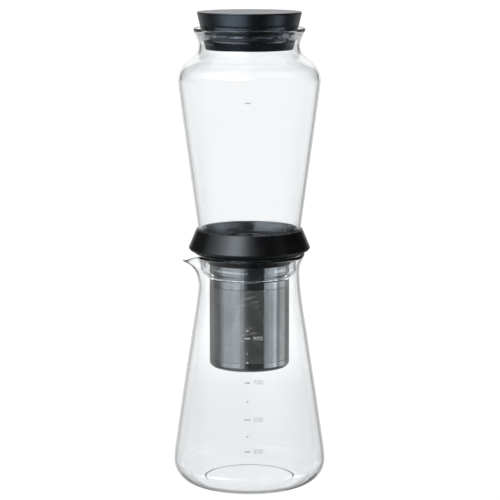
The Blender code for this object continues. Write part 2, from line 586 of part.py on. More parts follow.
def build_lid(group, plastic, silicone):
    """The tapered lid, a moulded shell open below, and the packing that seats it in the neck."""
    taper = (LID_TOP_RADIUS - LID_BASE_RADIUS) / LID_HEIGHT

    def side(height):
        return LID_BASE_RADIUS + taper * (height - LID_BASE)

    groove_base = LID_PACKING_BASE - SEAT_GAP
    groove_top = LID_PACKING_BASE + LID_PACKING_THICKNESS + SEAT_GAP
    inner_top = LID_TOP - LID_TOP_THICKNESS
    edge = quarter_round((LID_TOP_RADIUS - LID_EDGE_ROUNDING, LID_TOP),
                         (side(LID_TOP - LID_EDGE_ROUNDING), LID_TOP - LID_EDGE_ROUNDING),
                         (LID_TOP_RADIUS, LID_TOP), CORNER_STEPS - 1)
    outline = [(0.0, inner_top), (side(inner_top) - LID_WALL, inner_top),
               (LID_BASE_RADIUS - LID_WALL, LID_BASE), (LID_BASE_RADIUS, LID_BASE),
               (side(groove_base), groove_base), (side(groove_base) - LID_PACKING_GROOVE, groove_base),
               (side(groove_top) - LID_PACKING_GROOVE, groove_top), (side(groove_top), groove_top),
               *reversed(edge), (0.0, LID_TOP)]
    place("lid_shell", turn(list(reversed(outline)), closed=False), plastic, group)

    neck = inset(bowl_outer(), GLASS_WALL)
    packing_top = LID_PACKING_BASE + LID_PACKING_THICKNESS
    middle = 0.5 * (LID_PACKING_BASE + packing_top)
    upper_lip = radius_at(neck, packing_top - LID_PACKING_LIP) - SEAT_GAP
    lower_lip = radius_at(neck, LID_PACKING_BASE) - SEAT_GAP
    packing = [(side(LID_PACKING_BASE) - LID_PACKING_GROOVE + SEAT_GAP, LID_PACKING_BASE),
               (side(packing_top) - LID_PACKING_GROOVE + SEAT_GAP, packing_top),
               (upper_lip, packing_top), (upper_lip, packing_top - LID_PACKING_LIP),
               (side(middle) + LID_PACKING_WAIST, middle),
               (lower_lip, LID_PACKING_BASE + LID_PACKING_LIP), (lower_lip, LID_PACKING_BASE)]
    place("lid_packing", turn(packing), silicone, group)


def main():
    """Build every piece, from the table upwards."""
    clear_scene()
    group = new_collection("cold_brew_coffee_maker")
    cutters = new_collection("cutters")
    glass = new_material("clear_glass", (0.92, 0.95, 0.96), 0.02, transmission=1.0, ior=1.47)
    plastic = new_material("black_plastic", (0.028, 0.029, 0.031), 0.34)
    steel = new_material("polished_steel", (0.52, 0.52, 0.51), 0.24, metallic=1.0)
    silicone = new_material("clear_silicone", (0.86, 0.87, 0.87), 0.38, transmission=0.6, ior=1.41)
    build_server(group, glass)
    build_collar(group, plastic, silicone)
    build_strainer(group, cutters, steel)
    build_spreader(group, cutters, steel)
    build_holder(group, plastic, silicone)
    build_bowl(group, glass)
    nut, nut_bore = build_nozzle(group, plastic, silicone)
    finish_nut(nut, nut_bore, cutters)
    build_lid(group, plastic, silicone)


main()
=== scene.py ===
"""Looks of the slow-drip cold brew coffee maker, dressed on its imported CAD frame.

Frame: metres, +Z up, the stack's axis on Z, the spout towards -X and the volume marks towards -Y.
An outline is a list of (radius, height) pairs that is turned round the Z axis. It runs up its inner
side and down its outer side. A table of shares gives (share of the height, share of the change in radius).
"""

import logging
import math
from collections.abc import Iterable, Sequence
from dataclasses import dataclass
from enum import Enum

import bmesh
import bpy
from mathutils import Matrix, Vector


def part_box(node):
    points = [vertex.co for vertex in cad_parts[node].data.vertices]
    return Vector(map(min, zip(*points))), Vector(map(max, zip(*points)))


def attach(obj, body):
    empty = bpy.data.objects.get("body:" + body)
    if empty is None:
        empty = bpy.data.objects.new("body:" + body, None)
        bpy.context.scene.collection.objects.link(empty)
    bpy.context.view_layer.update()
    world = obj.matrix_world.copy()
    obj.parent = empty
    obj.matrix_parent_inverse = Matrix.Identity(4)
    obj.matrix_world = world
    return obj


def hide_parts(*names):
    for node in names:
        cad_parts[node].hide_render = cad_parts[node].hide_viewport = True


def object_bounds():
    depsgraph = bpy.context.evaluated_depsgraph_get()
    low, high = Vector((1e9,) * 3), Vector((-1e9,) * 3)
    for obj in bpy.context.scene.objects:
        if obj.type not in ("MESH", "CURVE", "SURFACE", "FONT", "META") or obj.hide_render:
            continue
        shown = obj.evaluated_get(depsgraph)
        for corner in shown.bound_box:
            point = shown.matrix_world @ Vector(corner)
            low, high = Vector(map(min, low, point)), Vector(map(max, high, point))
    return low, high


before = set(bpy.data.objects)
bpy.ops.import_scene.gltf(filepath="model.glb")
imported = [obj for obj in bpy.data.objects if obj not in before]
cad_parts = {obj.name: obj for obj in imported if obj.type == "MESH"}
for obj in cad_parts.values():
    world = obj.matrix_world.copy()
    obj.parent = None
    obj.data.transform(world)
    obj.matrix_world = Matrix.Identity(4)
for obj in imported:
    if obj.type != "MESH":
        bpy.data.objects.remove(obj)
CAD_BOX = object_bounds()

LOG = logging.getLogger("cold_brew_maker")
MM = 0.001
SEAT_GAP = 0.3 * MM
MERGE_DISTANCE = 0.001 * MM
DRAW_STEP = 1.2 * MM
CUT_OVERRUN = 1.0 * MM
PRINT_FILM = 0.05 * MM
PRINT_GAP = 0.02 * MM
ROUND_STEPS = 144
CORNER_STEPS = 12
EASE_STEPS = 5
EASE_LIMIT_SHARE = 0.35
EASE_LEAD_SHARE = 1.3
RIM_STEPS = 8
HOLE_STEPS = 20
SHARP_ANGLE = math.radians(38.0)

Point = tuple[float, float]
Triple = tuple[float, float, float]
Colour = Triple
Outline = list[Point]
Shares = tuple[Point, ...]
Shape = bmesh.types.BMesh
Piece = bpy.types.Object
Mesh = bpy.types.Mesh
Material = bpy.types.Material
Socket = bpy.types.NodeSocket
WHITE: Colour = (1.0, 1.0, 1.0)


class Body(Enum):
    """Moving bodies of the frame."""

    SERVER = "server"
    STRAINER = "strainer"
    SPREADER = "spreader"
    BOWL = "bowl"
    LID = "lid"


class Slot(Enum):
    """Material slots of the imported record."""

    GLASS = "clear_glass"
    PLASTIC = "black_plastic"
    STEEL = "polished_steel"
    SILICONE = "clear_silicone"


class MarkKind(Enum):
    """Lengths of the printed volume ticks, in metres."""

    LONG = 4.4 * MM
    SHORT = 1.9 * MM
    DOT = 0.9 * MM


# Outlines


def between(start: Point, end: Point, shares: Iterable[Point]) -> Outline:
    """Points from start to end, each at its share of the way up and of the way across."""
    return [(start[0] + (end[0] - start[0]) * across, start[1] + (end[1] - start[1]) * up)
            for up, across in shares]


def quarter_round(start: Point, end: Point, corner: Point, steps: int = CORNER_STEPS) -> Outline:
    """An elliptic quarter round.

    Args:
        start: where the round begins.
        end: where it ends.
        corner: the sharp corner that it stands for.
        steps: how many stretches it has.

    Returns:
        The points from start to end.
    """
    middle = Vector((start[0] + end[0] - corner[0], start[1] + end[1] - corner[1]))
    first = Vector(start) - middle
    last = Vector(end) - middle
    turns = [0.5 * math.pi * step / steps for step in range(steps + 1)]
    return [tuple(middle + first * math.cos(turn) + last * math.sin(turn)) for turn in turns]


def pressed_corner(radius: float, low: float, corner: float) -> Outline:
    """The round, as wide as it is high, from a dish's upright side down to its floor."""
    return quarter_round((radius, low + corner), (radius - corner, low), (radius, low))


def curve_point(corners: Sequence[Vector], share: float) -> Point:
    """A point of the centripetal curve through four places.

    Args:
        corners: the four places, of which the curve runs from the second to the third.
        share: how far along that stretch the point lies.

    Returns:
        The point.
    """
    knots = [0.0]
    for first, second in zip(corners, corners[1:]):
        knots.append(knots[-1] + math.sqrt((second - first).length))
    at = knots[1] + (knots[2] - knots[1]) * share
    singles = [corners[i].lerp(corners[i + 1], (at - knots[i]) / (knots[i + 1] - knots[i])) for i in range(3)]
    pairs = [singles[i].lerp(singles[i + 1], (at - knots[i]) / (knots[i + 2] - knots[i])) for i in range(2)]
    return tuple(pairs[0].lerp(pairs[1], share))


def drawn(points: Sequence[Point]) -> Outline:
    """A smooth line through the points, as drawn glass has.

    Args:
        points: the places that the line goes through.

    Returns:
        The points of the line, about a drawing step apart, ends included.
    """
    places = [Vector(point) for point in points]
    ends = [2.0 * places[0] - places[1], *places, 2.0 * places[-1] - places[-2]]
    line = [tuple(places[0])]
    for index in range(len(places) - 1):
        corners = ends[index:index + 4]
        count = max(1, round((corners[2] - corners[1]).length / DRAW_STEP))
        line += [curve_point(corners, number / count) for number in range(1, count + 1)]
    return line


def inset(outline: Sequence[Point], wall: float) -> Outline:
    """The inner side of a wall.

    Args:
        outline: the wall's outer side, running down.
        wall: the wall's thickness.

    Returns:
        The outline moved inwards by the wall.
    """
    last = len(outline) - 1
    moved = []
    for index, (radius, height) in enumerate(outline):
        before = outline[max(index - 1, 0)]
        after = outline[min(index + 1, last)]
        length = math.dist(before, after)
        moved.append((radius + wall * (after[1] - before[1]) / length,
                      height - wall * (after[0] - before[0]) / length))
    return moved


def walled(outer: Sequence[Point], wall: float, floor: float) -> Outline:
    """A glass wall: its inner side, its fire-polished rim and its outer side.

    Args:
        outer: the outer side, running down.
        wall: the wall's thickness.
        floor: the level above which the inner side starts.

    Returns:
        The outline, up inside and down outside.
    """
    inner = [point for point in inset(outer, wall) if point[1] > floor]
    radius, height = outer[0]
    crown = 0.5 * wall
    turns = [math.pi * step / RIM_STEPS for step in range(1, RIM_STEPS)]
    rim = [(radius - crown - crown * math.cos(turn), height + crown * math.sin(turn)) for turn in turns]
    return [*reversed(inner[1:]), (radius - wall, height), *rim, *outer]


def radius_at(outline: Sequence[Point], height: float) -> float:
    """Radius of an outline at a height.

    Args:
        outline: the outline to read.
        height: the level to read it at.

    Returns:
        The radius on the first stretch that crosses the height.
    """
    for (radius_a, height_a), (radius_b, height_b) in zip(outline, outline[1:]):
        if min(height_a, height_b) <= height <= max(height_a, height_b) and height_a != height_b:
            return radius_a + (radius_b - radius_a) * (height - height_a) / (height_b - height_a)
    return outline[0][0]


def eased(corners: Sequence[Triple], closed: bool = True) -> Outline:
    """An outline whose corners are eased, as moulded and pressed edges are.

    A short straight stretch on each side of a corner keeps the shading of the long sides true.

    Args:
        corners: radius, height and easing of each corner.
        closed: whether the last corner joins the first.

    Returns:
        The points of the outline.
    """
    count = len(corners)
    outline = []
    for index, (radius, height, easing) in enumerate(corners):
        here = Vector((radius, height))
        if easing <= 0.0 or (not closed and index in (0, count - 1)):
            outline.append((radius, height))
            continue
        before = Vector(corners[index - 1][:2]) - here
        after = Vector(corners[(index + 1) % count][:2]) - here
        back = before.normalized() * min(easing, EASE_LIMIT_SHARE * before.length)
        ahead = after.normalized() * min(easing, EASE_LIMIT_SHARE * after.length)
        outline.append(tuple(here + back * EASE_LEAD_SHARE))
        for step in range(EASE_STEPS + 1):
            share = step / EASE_STEPS
            outline.append(tuple(here + back * (1.0 - share) ** 2 + ahead * share ** 2))
        outline.append(tuple(here + ahead * EASE_LEAD_SHARE))
    return outline


# Meshes


def placed(name: str, data: bpy.types.ID) -> Piece:
    """A new object in the scene.

    Args:
        name: the object's name.
        data: its mesh, text, lamp or camera.

    Returns:
        The object.
    """
    item = bpy.data.objects.new(name, data)
    bpy.context.scene.collection.objects.link(item)
    return item


def piece_from(name: str, shape: Shape) -> Piece:
    """A smooth-faced object made of a finished shape.

    Args:
        name: the piece's name.
        shape: its mesh, which is freed.

    Returns:
        The object, with sharp edges where faces meet steeply.
    """
    mesh = bpy.data.meshes.new(name)
    shape.to_mesh(mesh)
    shape.free()
    mesh.shade_smooth()
    mesh.set_sharp_from_angle(angle=SHARP_ANGLE)
    return placed(name, mesh)


def turned_shape(outline: Sequence[Point], closed: bool = True, steps: int = ROUND_STEPS) -> Shape:
    """An outline turned round the axis.

    Args:
        outline: what is turned.
        closed: whether its last point joins its first; it is open where both lie on the axis.
        steps: how many facets go round.

    Returns:
        The closed shape, its faces turned outwards.
    """
    shape = bmesh.new()
    points = [shape.verts.new((radius, 0.0, height)) for radius, height in outline]
    lines = [shape.edges.new(pair) for pair in zip(points, points[1:])]
    if closed:
        lines.append(shape.edges.new((points[-1], points[0])))
    bmesh.ops.spin(shape, geom=[*points, *lines], cent=(0.0, 0.0, 0.0), axis=(0.0, 0.0, 1.0),
                   angle=2.0 * math.pi, steps=steps, use_merge=True)
    bmesh.ops.remove_doubles(shape, verts=shape.verts, dist=MERGE_DISTANCE)
    bmesh.ops.dissolve_degenerate(shape, dist=MERGE_DISTANCE, edges=shape.edges)
    bmesh.ops.recalc_face_normals(shape, faces=shape.faces)
    return shape


def turned(name: str, outline: Sequence[Point], closed: bool = True) -> Piece:
    """A piece turned from an outline, which is open where both its ends lie on the axis."""
    return piece_from(name, turned_shape(outline, closed))


def shown_mesh(piece: Piece) -> Mesh:
    """A new mesh of what an object shows, modifiers and all."""
    bpy.context.view_layer.update()
    return bpy.data.meshes.new_from_object(piece.evaluated_get(bpy.context.evaluated_depsgraph_get()))


def settle(piece: Piece) -> None:
    """Give a piece the mesh that its modifiers leave, with its steep edges sharp.

    Args:
        piece: the piece, which loses its modifiers.
    """
    result = shown_mesh(piece)
    result.name = piece.name
    piece.modifiers.clear()
    piece.data = result
    piece.data.set_sharp_from_angle(angle=SHARP_ANGLE)


def drain(piece: Piece, rings: int, pitch: float, radius: float, low: float, sheet: float) -> None:
    """Cut upright round holes through a dish's floor, six more on each ring than on the one inside it.

    Args:
        piece: what is cut.
        rings: how many rings there are round the middle hole.
        pitch: the distance from ring to ring.
        radius: the holes' radius.
        low: the level of the floor's underside.
        sheet: the floor's thickness.
    """
    places = [(0.0, 0.0)]
    for ring in range(1, rings + 1):
        turns = [2.0 * math.pi * index / (6 * ring) for index in range(6 * ring)]
        places += [(ring * pitch * math.cos(turn), ring * pitch * math.sin(turn)) for turn in turns]
    start, end = low - CUT_OVERRUN, low + sheet + CUT_OVERRUN
    shape = bmesh.new()
    for across, along in places:
        added = bmesh.ops.create_cone(shape, cap_ends=True, segments=HOLE_STEPS, radius1=radius,
                                      radius2=radius, depth=end - start)
        bmesh.ops.translate(shape, verts=added["verts"], vec=(across, along, 0.5 * (start + end)))
    cutter = piece_from(piece.name + "_holes", shape)
    cut = piece.modifiers.new("Holes", "BOOLEAN")
    cut.operation = "DIFFERENCE"
    cut.solver = "EXACT"
    cut.object = cutter
    settle(piece)
    bpy.data.objects.remove(cutter, do_unlink=True)


# Printing


def print_on_glass(name: str, shapes: Iterable[Mesh], outer: Sequence[Point]) -> Piece:
    """Flat shapes laid on the front of a round glass.

    Args:
        name: the piece's name.
        shapes: meshes drawn across X and up Y, with their thickness along Z.
        outer: the glass's outer side.

    Returns:
        One piece with all of them.
    """
    joined = bmesh.new()
    for shape in shapes:
        joined.from_mesh(shape)
    for vertex in joined.verts:
        across, height, depth = vertex.co
        radius = radius_at(outer, height)
        turn = across / radius
        radius += PRINT_GAP + depth
        vertex.co = (radius * math.sin(turn), -radius * math.cos(turn), height)
    bmesh.ops.recalc_face_normals(joined, faces=joined.faces)
    return piece_from(name, joined)


def tick_shape(across: float, height: float, length: float, weight: float) -> Mesh:
    """A printed tick with round ends.

    Args:
        across: where its middle lies from the axis.
        height: the level of its middle.
        length: its length.
        weight: its height.

    Returns:
        The flat mesh.
    """
    shape = bmesh.new()
    half = 0.5 * (length - weight)
    arcs = [(side, math.pi * (step / 6 - 0.5)) for side in (1, -1) for step in range(7)]
    rim = [shape.verts.new((across + side * (half + 0.5 * weight * math.cos(turn)),
                            height + side * 0.5 * weight * math.sin(turn), 0.0)) for side, turn in arcs]
    raised = bmesh.ops.extrude_face_region(shape, geom=[shape.faces.new(rim)])
    tops = [item for item in raised["geom"] if isinstance(item, bmesh.types.BMVert)]
    bmesh.ops.translate(shape, verts=tops, vec=(0.0, 0.0, PRINT_FILM))
    mesh = bpy.data.meshes.new("tick")
    shape.to_mesh(mesh)
    shape.free()
    return mesh


def number_shape(number: str, left: float, height: float, width: float, rise: float) -> Mesh:
    """A printed number, fitted into its room.

    Args:
        number: the digits.
        left: where it starts from the axis.
        height: the level of its middle.
        width: its width.
        rise: the height of its digits.

    Returns:
        The flat mesh.
    """
    text = bpy.data.curves.new("number", "FONT")
    text.body = number
    text.extrude = 0.5
    text.offset = -0.008
    text.resolution_u = 4
    lettering = placed("number", text)
    mesh = shown_mesh(lettering)
    bpy.data.objects.remove(lettering, do_unlink=True)
    lows, highs = [[pick(vertex.co[axis] for vertex in mesh.vertices) for axis in range(3)]
                   for pick in (min, max)]
    for vertex in mesh.vertices:
        shares = [(vertex.co[axis] - lows[axis]) / (highs[axis] - lows[axis]) for axis in range(3)]
        vertex.co = (left + width * shares[0], height + rise * (shares[1] - 0.5), PRINT_FILM * shares[2])
    return mesh


# Shader maths


class Signal:
    """A shader socket that carries a number, which Python's operators turn into Math nodes."""

    def __init__(self, graph: "Graph", socket: Socket) -> None:
        """Wrap an output of one of the graph's nodes."""
        self.graph = graph
        self.socket = socket

    def __add__(self, other: "Signal | float") -> "Signal":
        """This plus the other."""
        return self.graph.math("ADD", self, other)

    __radd__ = __add__

    def __sub__(self, other: "Signal | float") -> "Signal":
        """This less the other."""
        return self.graph.math("SUBTRACT", self, other)

    def __rsub__(self, other: float) -> "Signal":
        """The other less this."""
        return self.graph.math("SUBTRACT", other, self)

    def __mul__(self, other: "Signal | float") -> "Signal":
        """This times the other."""
        return self.graph.math("MULTIPLY", self, other)

    __rmul__ = __mul__

    def __truediv__(self, other: "Signal | float") -> "Signal":
        """This divided by the other."""
        return self.graph.math("DIVIDE", self, other)

    def __neg__(self) -> "Signal":
        """This with its sign turned."""
        return self * -1.0

    def at_most(self, limit: float) -> "Signal":
        """This, or the limit where that is less."""
        return self.graph.math("MINIMUM", self, limit)

    def step(self, low: float, high: float) -> "Signal":
        """A smooth step that rises from none where this is low to one where it is high."""
        return self.graph.signal("ShaderNodeMapRange", {"Value": self, "From Min": low, "From Max": high},
                                 interpolation_type="SMOOTHSTEP")

    def towards(self, other: "Signal", share: "Signal") -> "Signal":
        """This where the share is none, and the other where it is one."""
        return self * (1.0 - share) + other * share


class Graph:
    """The nodes of one material or world."""

    def __init__(self, tree: bpy.types.NodeTree) -> None:
        """Start from the tree, emptied."""
        self.tree = tree
        tree.nodes.clear()

    def add(self, kind: str, inputs: dict | None = None, **settings: object) -> bpy.types.Node:
        """A new node.

        Args:
            kind: the node's type.
            inputs: values, signals or outputs for its sockets, by name or number.
            settings: its own settings, which are set first, with a ramp's (place, level) pairs as stops.

        Returns:
            The node.
        """
        node = self.tree.nodes.new(kind)
        for name, value in settings.items():
            if name == "stops":
                self._set_stops(node.color_ramp, value)
            else:
                setattr(node, name, value)
        for key, value in (inputs or {}).items():
            source = value.socket if isinstance(value, Signal) else value
            if isinstance(source, Socket):
                self.tree.links.new(source, node.inputs[key])
            else:
                node.inputs[key].default_value = source
        return node

    @staticmethod
    def _set_stops(ramp: bpy.types.ColorRamp, stops: Sequence[Point]) -> None:
        """Give a ramp its stops.

        Args:
            ramp: the ramp, which starts with two.
            stops: place and level of each, in order.
        """
        while len(ramp.elements) < len(stops):
            ramp.elements.new(1.0)
        for element, (place, level) in zip(ramp.elements, stops):
            element.position = place
            element.color = (level, level, level, 1.0)

    def output(self, kind: str, inputs: dict | None = None, **settings: object) -> Socket:
        """The first output of a new node."""
        return self.add(kind, inputs, **settings).outputs[0]

    def signal(self, kind: str, inputs: dict | None = None, **settings: object) -> Signal:
        """The first output of a new node, as a number."""
        return Signal(self, self.output(kind, inputs, **settings))

    def math(self, operation: str, *values: "Signal | float") -> Signal:
        """What a Math node makes of the values, in their order."""
        return self.signal("ShaderNodeMath", dict(enumerate(values)), operation=operation)

    def parts(self, vector: Socket) -> list[Signal]:
        """A vector's x, y and z."""
        return [Signal(self, output) for output in self.add("ShaderNodeSeparateXYZ", {0: vector}).outputs]

    def noise(self, scale: float, detail: float, stretch: Triple = WHITE) -> Signal:
        """Soft noise over the piece, about a half on average.

        Args:
            scale: how many spots there are to a metre.
            detail: how many finer layers it has.
            stretch: how much denser it is along X, Y and Z.

        Returns:
            The noise.
        """
        place = self.output("ShaderNodeVectorMath", {0: self.add("ShaderNodeTexCoord").outputs["Object"],
                                                     1: stretch}, operation="MULTIPLY")
        return self.signal("ShaderNodeTexNoise", {"Vector": place, "Scale": scale, "Detail": detail})

    def blend(self, share: Signal, first: Colour | Socket, second: Colour) -> Socket:
        """The first colour where the share is none, and the second where it is one."""
        start = first if isinstance(first, Socket) else (*first, 1.0)
        return self.add("ShaderNodeMix", {0: share, 6: start, 7: (*second, 1.0)}, data_type="RGBA").outputs[2]

    def scaled(self, colour: Socket, level: Signal) -> Socket:
        """A colour times a level."""
        return self.output("ShaderNodeVectorMath", {0: colour, "Scale": level}, operation="SCALE")

    def bump(self, height: Signal, distance: float) -> Socket:
        """A normal for a surface that stands out by the distance, in metres, where the height is one."""
        return self.output("ShaderNodeBump", {"Height": height, "Distance": distance, "Strength": 1.0})

    def lit_through(self, shader: Socket, colour: Colour) -> Socket:
        """A see-through shader that lets lamps light what is behind it.

        Args:
            shader: what every other ray meets.
            colour: what is left of a lamp's light.

        Returns:
            The mixed shader.
        """
        clear = self.output("ShaderNodeBsdfTransparent", {0: (*colour, 1.0)})
        lamp_ray = self.add("ShaderNodeLightPath").outputs["Is Shadow Ray"]
        return self.output("ShaderNodeMixShader", {0: lamp_ray, 1: shader, 2: clear})


def new_material(name: str) -> tuple[Material, Graph]:
    """An empty material.

    Args:
        name: the material's name.

    Returns:
        The material and what adds its nodes.
    """
    material = bpy.data.materials.new(name)
    material.use_nodes = True
    return material, Graph(material.node_tree)


# Finishes


class Finish:
    """How a kind of piece looks, by a material that its pieces share."""

    name: str

    def shaders(self, graph: Graph) -> dict[str, Socket]:
        """The shaders of the material, which each finish makes in its own way.

        Args:
            graph: what adds nodes.

        Returns:
            The shaders, by the name of the output's socket.
        """
        raise NotImplementedError

    def make(self) -> Material:
        """The material.

        Returns:
            The material, with its nodes.
        """
        material, graph = new_material(self.name)
        graph.add("ShaderNodeOutputMaterial", self.shaders(graph))
        return material


@dataclass(frozen=True)
class ClearGlass(Finish):
    """Thin drawn heat-proof glass: faintly blue-green in the edge, with the slow waves of drawn walls."""

    name: str = "drawn_clear_glass"
    colour: Colour = (0.985, 0.99, 0.995)
    refraction: float = 1.47
    tint: Colour = (0.84, 0.885, 0.90)
    tint_density: float = 28.0
    wave_scale: float = 30.0
    wave_stretch: Triple = (1.0, 1.0, 0.4)
    wave_height: float = 0.02 * MM
    wipe_scale: float = 90.0
    haze: float = 0.015
    lamp_colour: Colour = (0.94, 0.96, 0.96)

    def shaders(self, graph: Graph) -> dict[str, Socket]:
        """The wavy surface, hazy where it was wiped, and the tint inside."""
        waves = graph.noise(self.wave_scale, 1.0, self.wave_stretch)
        wiped = graph.noise(self.wipe_scale, 3.0)
        glass = graph.output("ShaderNodeBsdfPrincipled", {
            "Base Color": (*self.colour, 1.0), "Roughness": wiped.step(0.5, 0.8) * self.haze,
            "IOR": self.refraction, "Transmission Weight": 1.0,
            "Normal": graph.bump(waves, self.wave_height)})
        inside = graph.output("ShaderNodeVolumeAbsorption",
                              {"Color": (*self.tint, 1.0), "Density": self.tint_density})
        return {"Surface": graph.lit_through(glass, self.lamp_colour), "Volume": inside}


@dataclass(frozen=True)
class SatinPlastic(Finish):
    """Black moulded plastic with a fine satin grain."""

    name: str = "satin_black_plastic"
    colour: Colour = (0.004, 0.0043, 0.0046)
    worn_colour: Colour = (0.0065, 0.0068, 0.0072)
    roughness: float = 0.20
    handled_roughness: float = 0.09
    grain_roughness: float = 0.04
    gloss: float = 0.5
    # colour of the reflections; a bluish one is a painted tint that stands in for bluish light
    gloss_colour: Colour = WHITE
    grain_scale: float = 1900.0
    grain_height: float = 0.006 * MM
    handled_scale: float = 55.0

    def shaders(self, graph: Graph) -> dict[str, Socket]:
        """The grained surface, worn where it was handled."""
        grain = graph.noise(self.grain_scale, 2.0)
        handled = graph.noise(self.handled_scale, 4.0)
        roughness = self.roughness + self.handled_roughness * handled + self.grain_roughness * grain
        return {"Surface": graph.output("ShaderNodeBsdfPrincipled", {
            "Base Color": graph.blend(handled.step(0.35, 0.75), self.colour, self.worn_colour),
            "Roughness": roughness, "Specular IOR Level": self.gloss,
            "Specular Tint": (*self.gloss_colour, 1.0), "Normal": graph.bump(grain, self.grain_height)})}


@dataclass(frozen=True)
class RolledSteel(Finish):
    """Bright rolled stainless sheet with faint marks along its rolling direction."""

    name: str = "bright_rolled_steel"
    colour: Colour = (0.60, 0.60, 0.59)
    stained_colour: Colour = (0.52, 0.515, 0.50)
    metallic: float = 1.0
    roughness: float = 0.05
    stain_roughness: float = 0.04
    streak_roughness: float = 0.03
    stain_scale: float = 40.0
    streak_scale: float = 700.0
    streak_stretch: Triple = (0.05, 0.05, 1.0)
    streak_height: float = 0.0008 * MM

    def shaders(self, graph: Graph) -> dict[str, Socket]:
        """The streaked and faintly stained surface."""
        streaks = graph.noise(self.streak_scale, 3.0, self.streak_stretch)
        stains = graph.noise(self.stain_scale, 4.0)
        roughness = self.roughness + self.stain_roughness * stains + self.streak_roughness * streaks
        return {"Surface": graph.output("ShaderNodeBsdfPrincipled", {
            "Base Color": graph.blend(stains.step(0.35, 0.7), self.colour, self.stained_colour),
            "Metallic": self.metallic, "Roughness": roughness,
            "Normal": graph.bump(streaks, self.streak_height)})}


@dataclass(frozen=True)
class ClearSilicone(Finish):
    """Soft clear silicone, slightly frosted by its mould."""

    name: str = "polished_clear_silicone"
    colour: Colour = (0.95, 0.955, 0.955)
    dusty_colour: Colour = (0.90, 0.905, 0.905)
    refraction: float = 1.3
    roughness: float = 0.02
    frost_roughness: float = 0.06
    frost_scale: float = 260.0
    frost_height: float = 0.001 * MM
    lamp_colour: Colour = (0.85, 0.86, 0.86)

    def shaders(self, graph: Graph) -> dict[str, Socket]:
        """The frosted surface."""
        frost = graph.noise(self.frost_scale, 3.0)
        clear = graph.output("ShaderNodeBsdfPrincipled", {
            "Base Color": graph.blend(frost.step(0.4, 0.8), self.colour, self.dusty_colour),
            "Roughness": self.roughness + self.frost_roughness * frost, "IOR": self.refraction,
            "Transmission Weight": 1.0, "Normal": graph.bump(frost, self.frost_height)})
        return {"Surface": graph.lit_through(clear, self.lamp_colour)}


@dataclass(frozen=True)
class PrintedInk(Finish):
    """Thin light-grey screen print, a little patchy where the film is thin, with painted shade on its back,
    which faces the glass.
    """

    name: str = "light_grey_screen_print"
    # painted shade for the print's back, the side that faces the glass
    shaded_back_colour: Colour = (0.06, 0.06, 0.062)
    colour: Colour = (0.46, 0.465, 0.475)
    thin_colour: Colour = (0.40, 0.405, 0.415)
    roughness: float = 0.5
    film_roughness: float = 0.2
    film_scale: float = 2600.0
    film_height: float = 0.01 * MM

    def shaders(self, graph: Graph) -> dict[str, Socket]:
        """The patchy film, with painted shade where it faces the glass."""
        film = graph.noise(self.film_scale, 3.0)
        front = graph.blend(film.step(0.45, 0.7), self.colour, self.thin_colour)
        shaded_back_facing = graph.parts(graph.add("ShaderNodeTexCoord").outputs["Normal"])[1]
        return {"Surface": graph.output("ShaderNodeBsdfPrincipled", {
            # painted shade: faces turned towards the glass take the dark back colour instead of the ink's
            # colour
            "Base Color": graph.blend(shaded_back_facing.step(0.0, 0.3), front, self.shaded_back_colour),
            "Roughness": self.roughness + self.film_roughness * film,
            "Normal": graph.bump(film, self.film_height)})}


@dataclass(frozen=True)
class Finishes:
    """One material of each finish, shared by all pieces."""

    glass: Material
    plastic: Material
    dull_plastic: Material
    polished_plastic: Material
    steel: Material
    pierced_steel: Material
    silicone: Material
    ink: Material

    @classmethod
    def made(cls) -> "Finishes":
        """Make every finish once.

        Returns:
            The materials.
        """
        dull = SatinPlastic(name="dull_black_plastic", roughness=0.45, gloss=0.15)
        # the lid's reflections get a painted bluish tint that stands in for the studio's bluish light
        polished = SatinPlastic(name="polished_black_plastic", gloss=1.0, gloss_colour=(0.76, 0.86, 1.0))
        pierced = RolledSteel(name="pierced_rolled_steel", stained_colour=(0.53, 0.525, 0.51),
                              metallic=0.86, roughness=0.09)
        return cls(*[finish.make() for finish in (ClearGlass(), SatinPlastic(), dull, polished,
                                                  RolledSteel(), pierced, ClearSilicone(), PrintedInk())])


# Sub-assemblies


@dataclass(frozen=True)
class Envelope:
    """Room that a CAD node takes round the axis."""

    low: float
    high: float
    radius: float

    @classmethod
    def of(cls, node: str) -> "Envelope":
        """The node's lowest and highest level and its reach away from the spout."""
        low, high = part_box(node)
        return cls(low.z, high.z, high.x)


class SubAssembly:
    """Pieces that move with one body of the frame."""

    body: Body

    def seat(self, piece: Piece, finish: Material, slot: Slot | None, *nodes: str) -> None:
        """Dress a piece and let it ride on the body.

        Args:
            piece: the piece, in place.
            finish: its material.
            slot: the record's slot that the finish stands for, if one does; not used.
            nodes: the CAD nodes that the piece stands for.
        """
        piece.data.materials.clear()
        piece.data.materials.append(finish)
        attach(piece, self.body.value)
        if nodes:
            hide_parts(*nodes)
        LOG.info("%s: %s, rides on %s, stands for %s", piece.name, finish.name, self.body.value,
                 ", ".join(nodes) or "no CAD node")


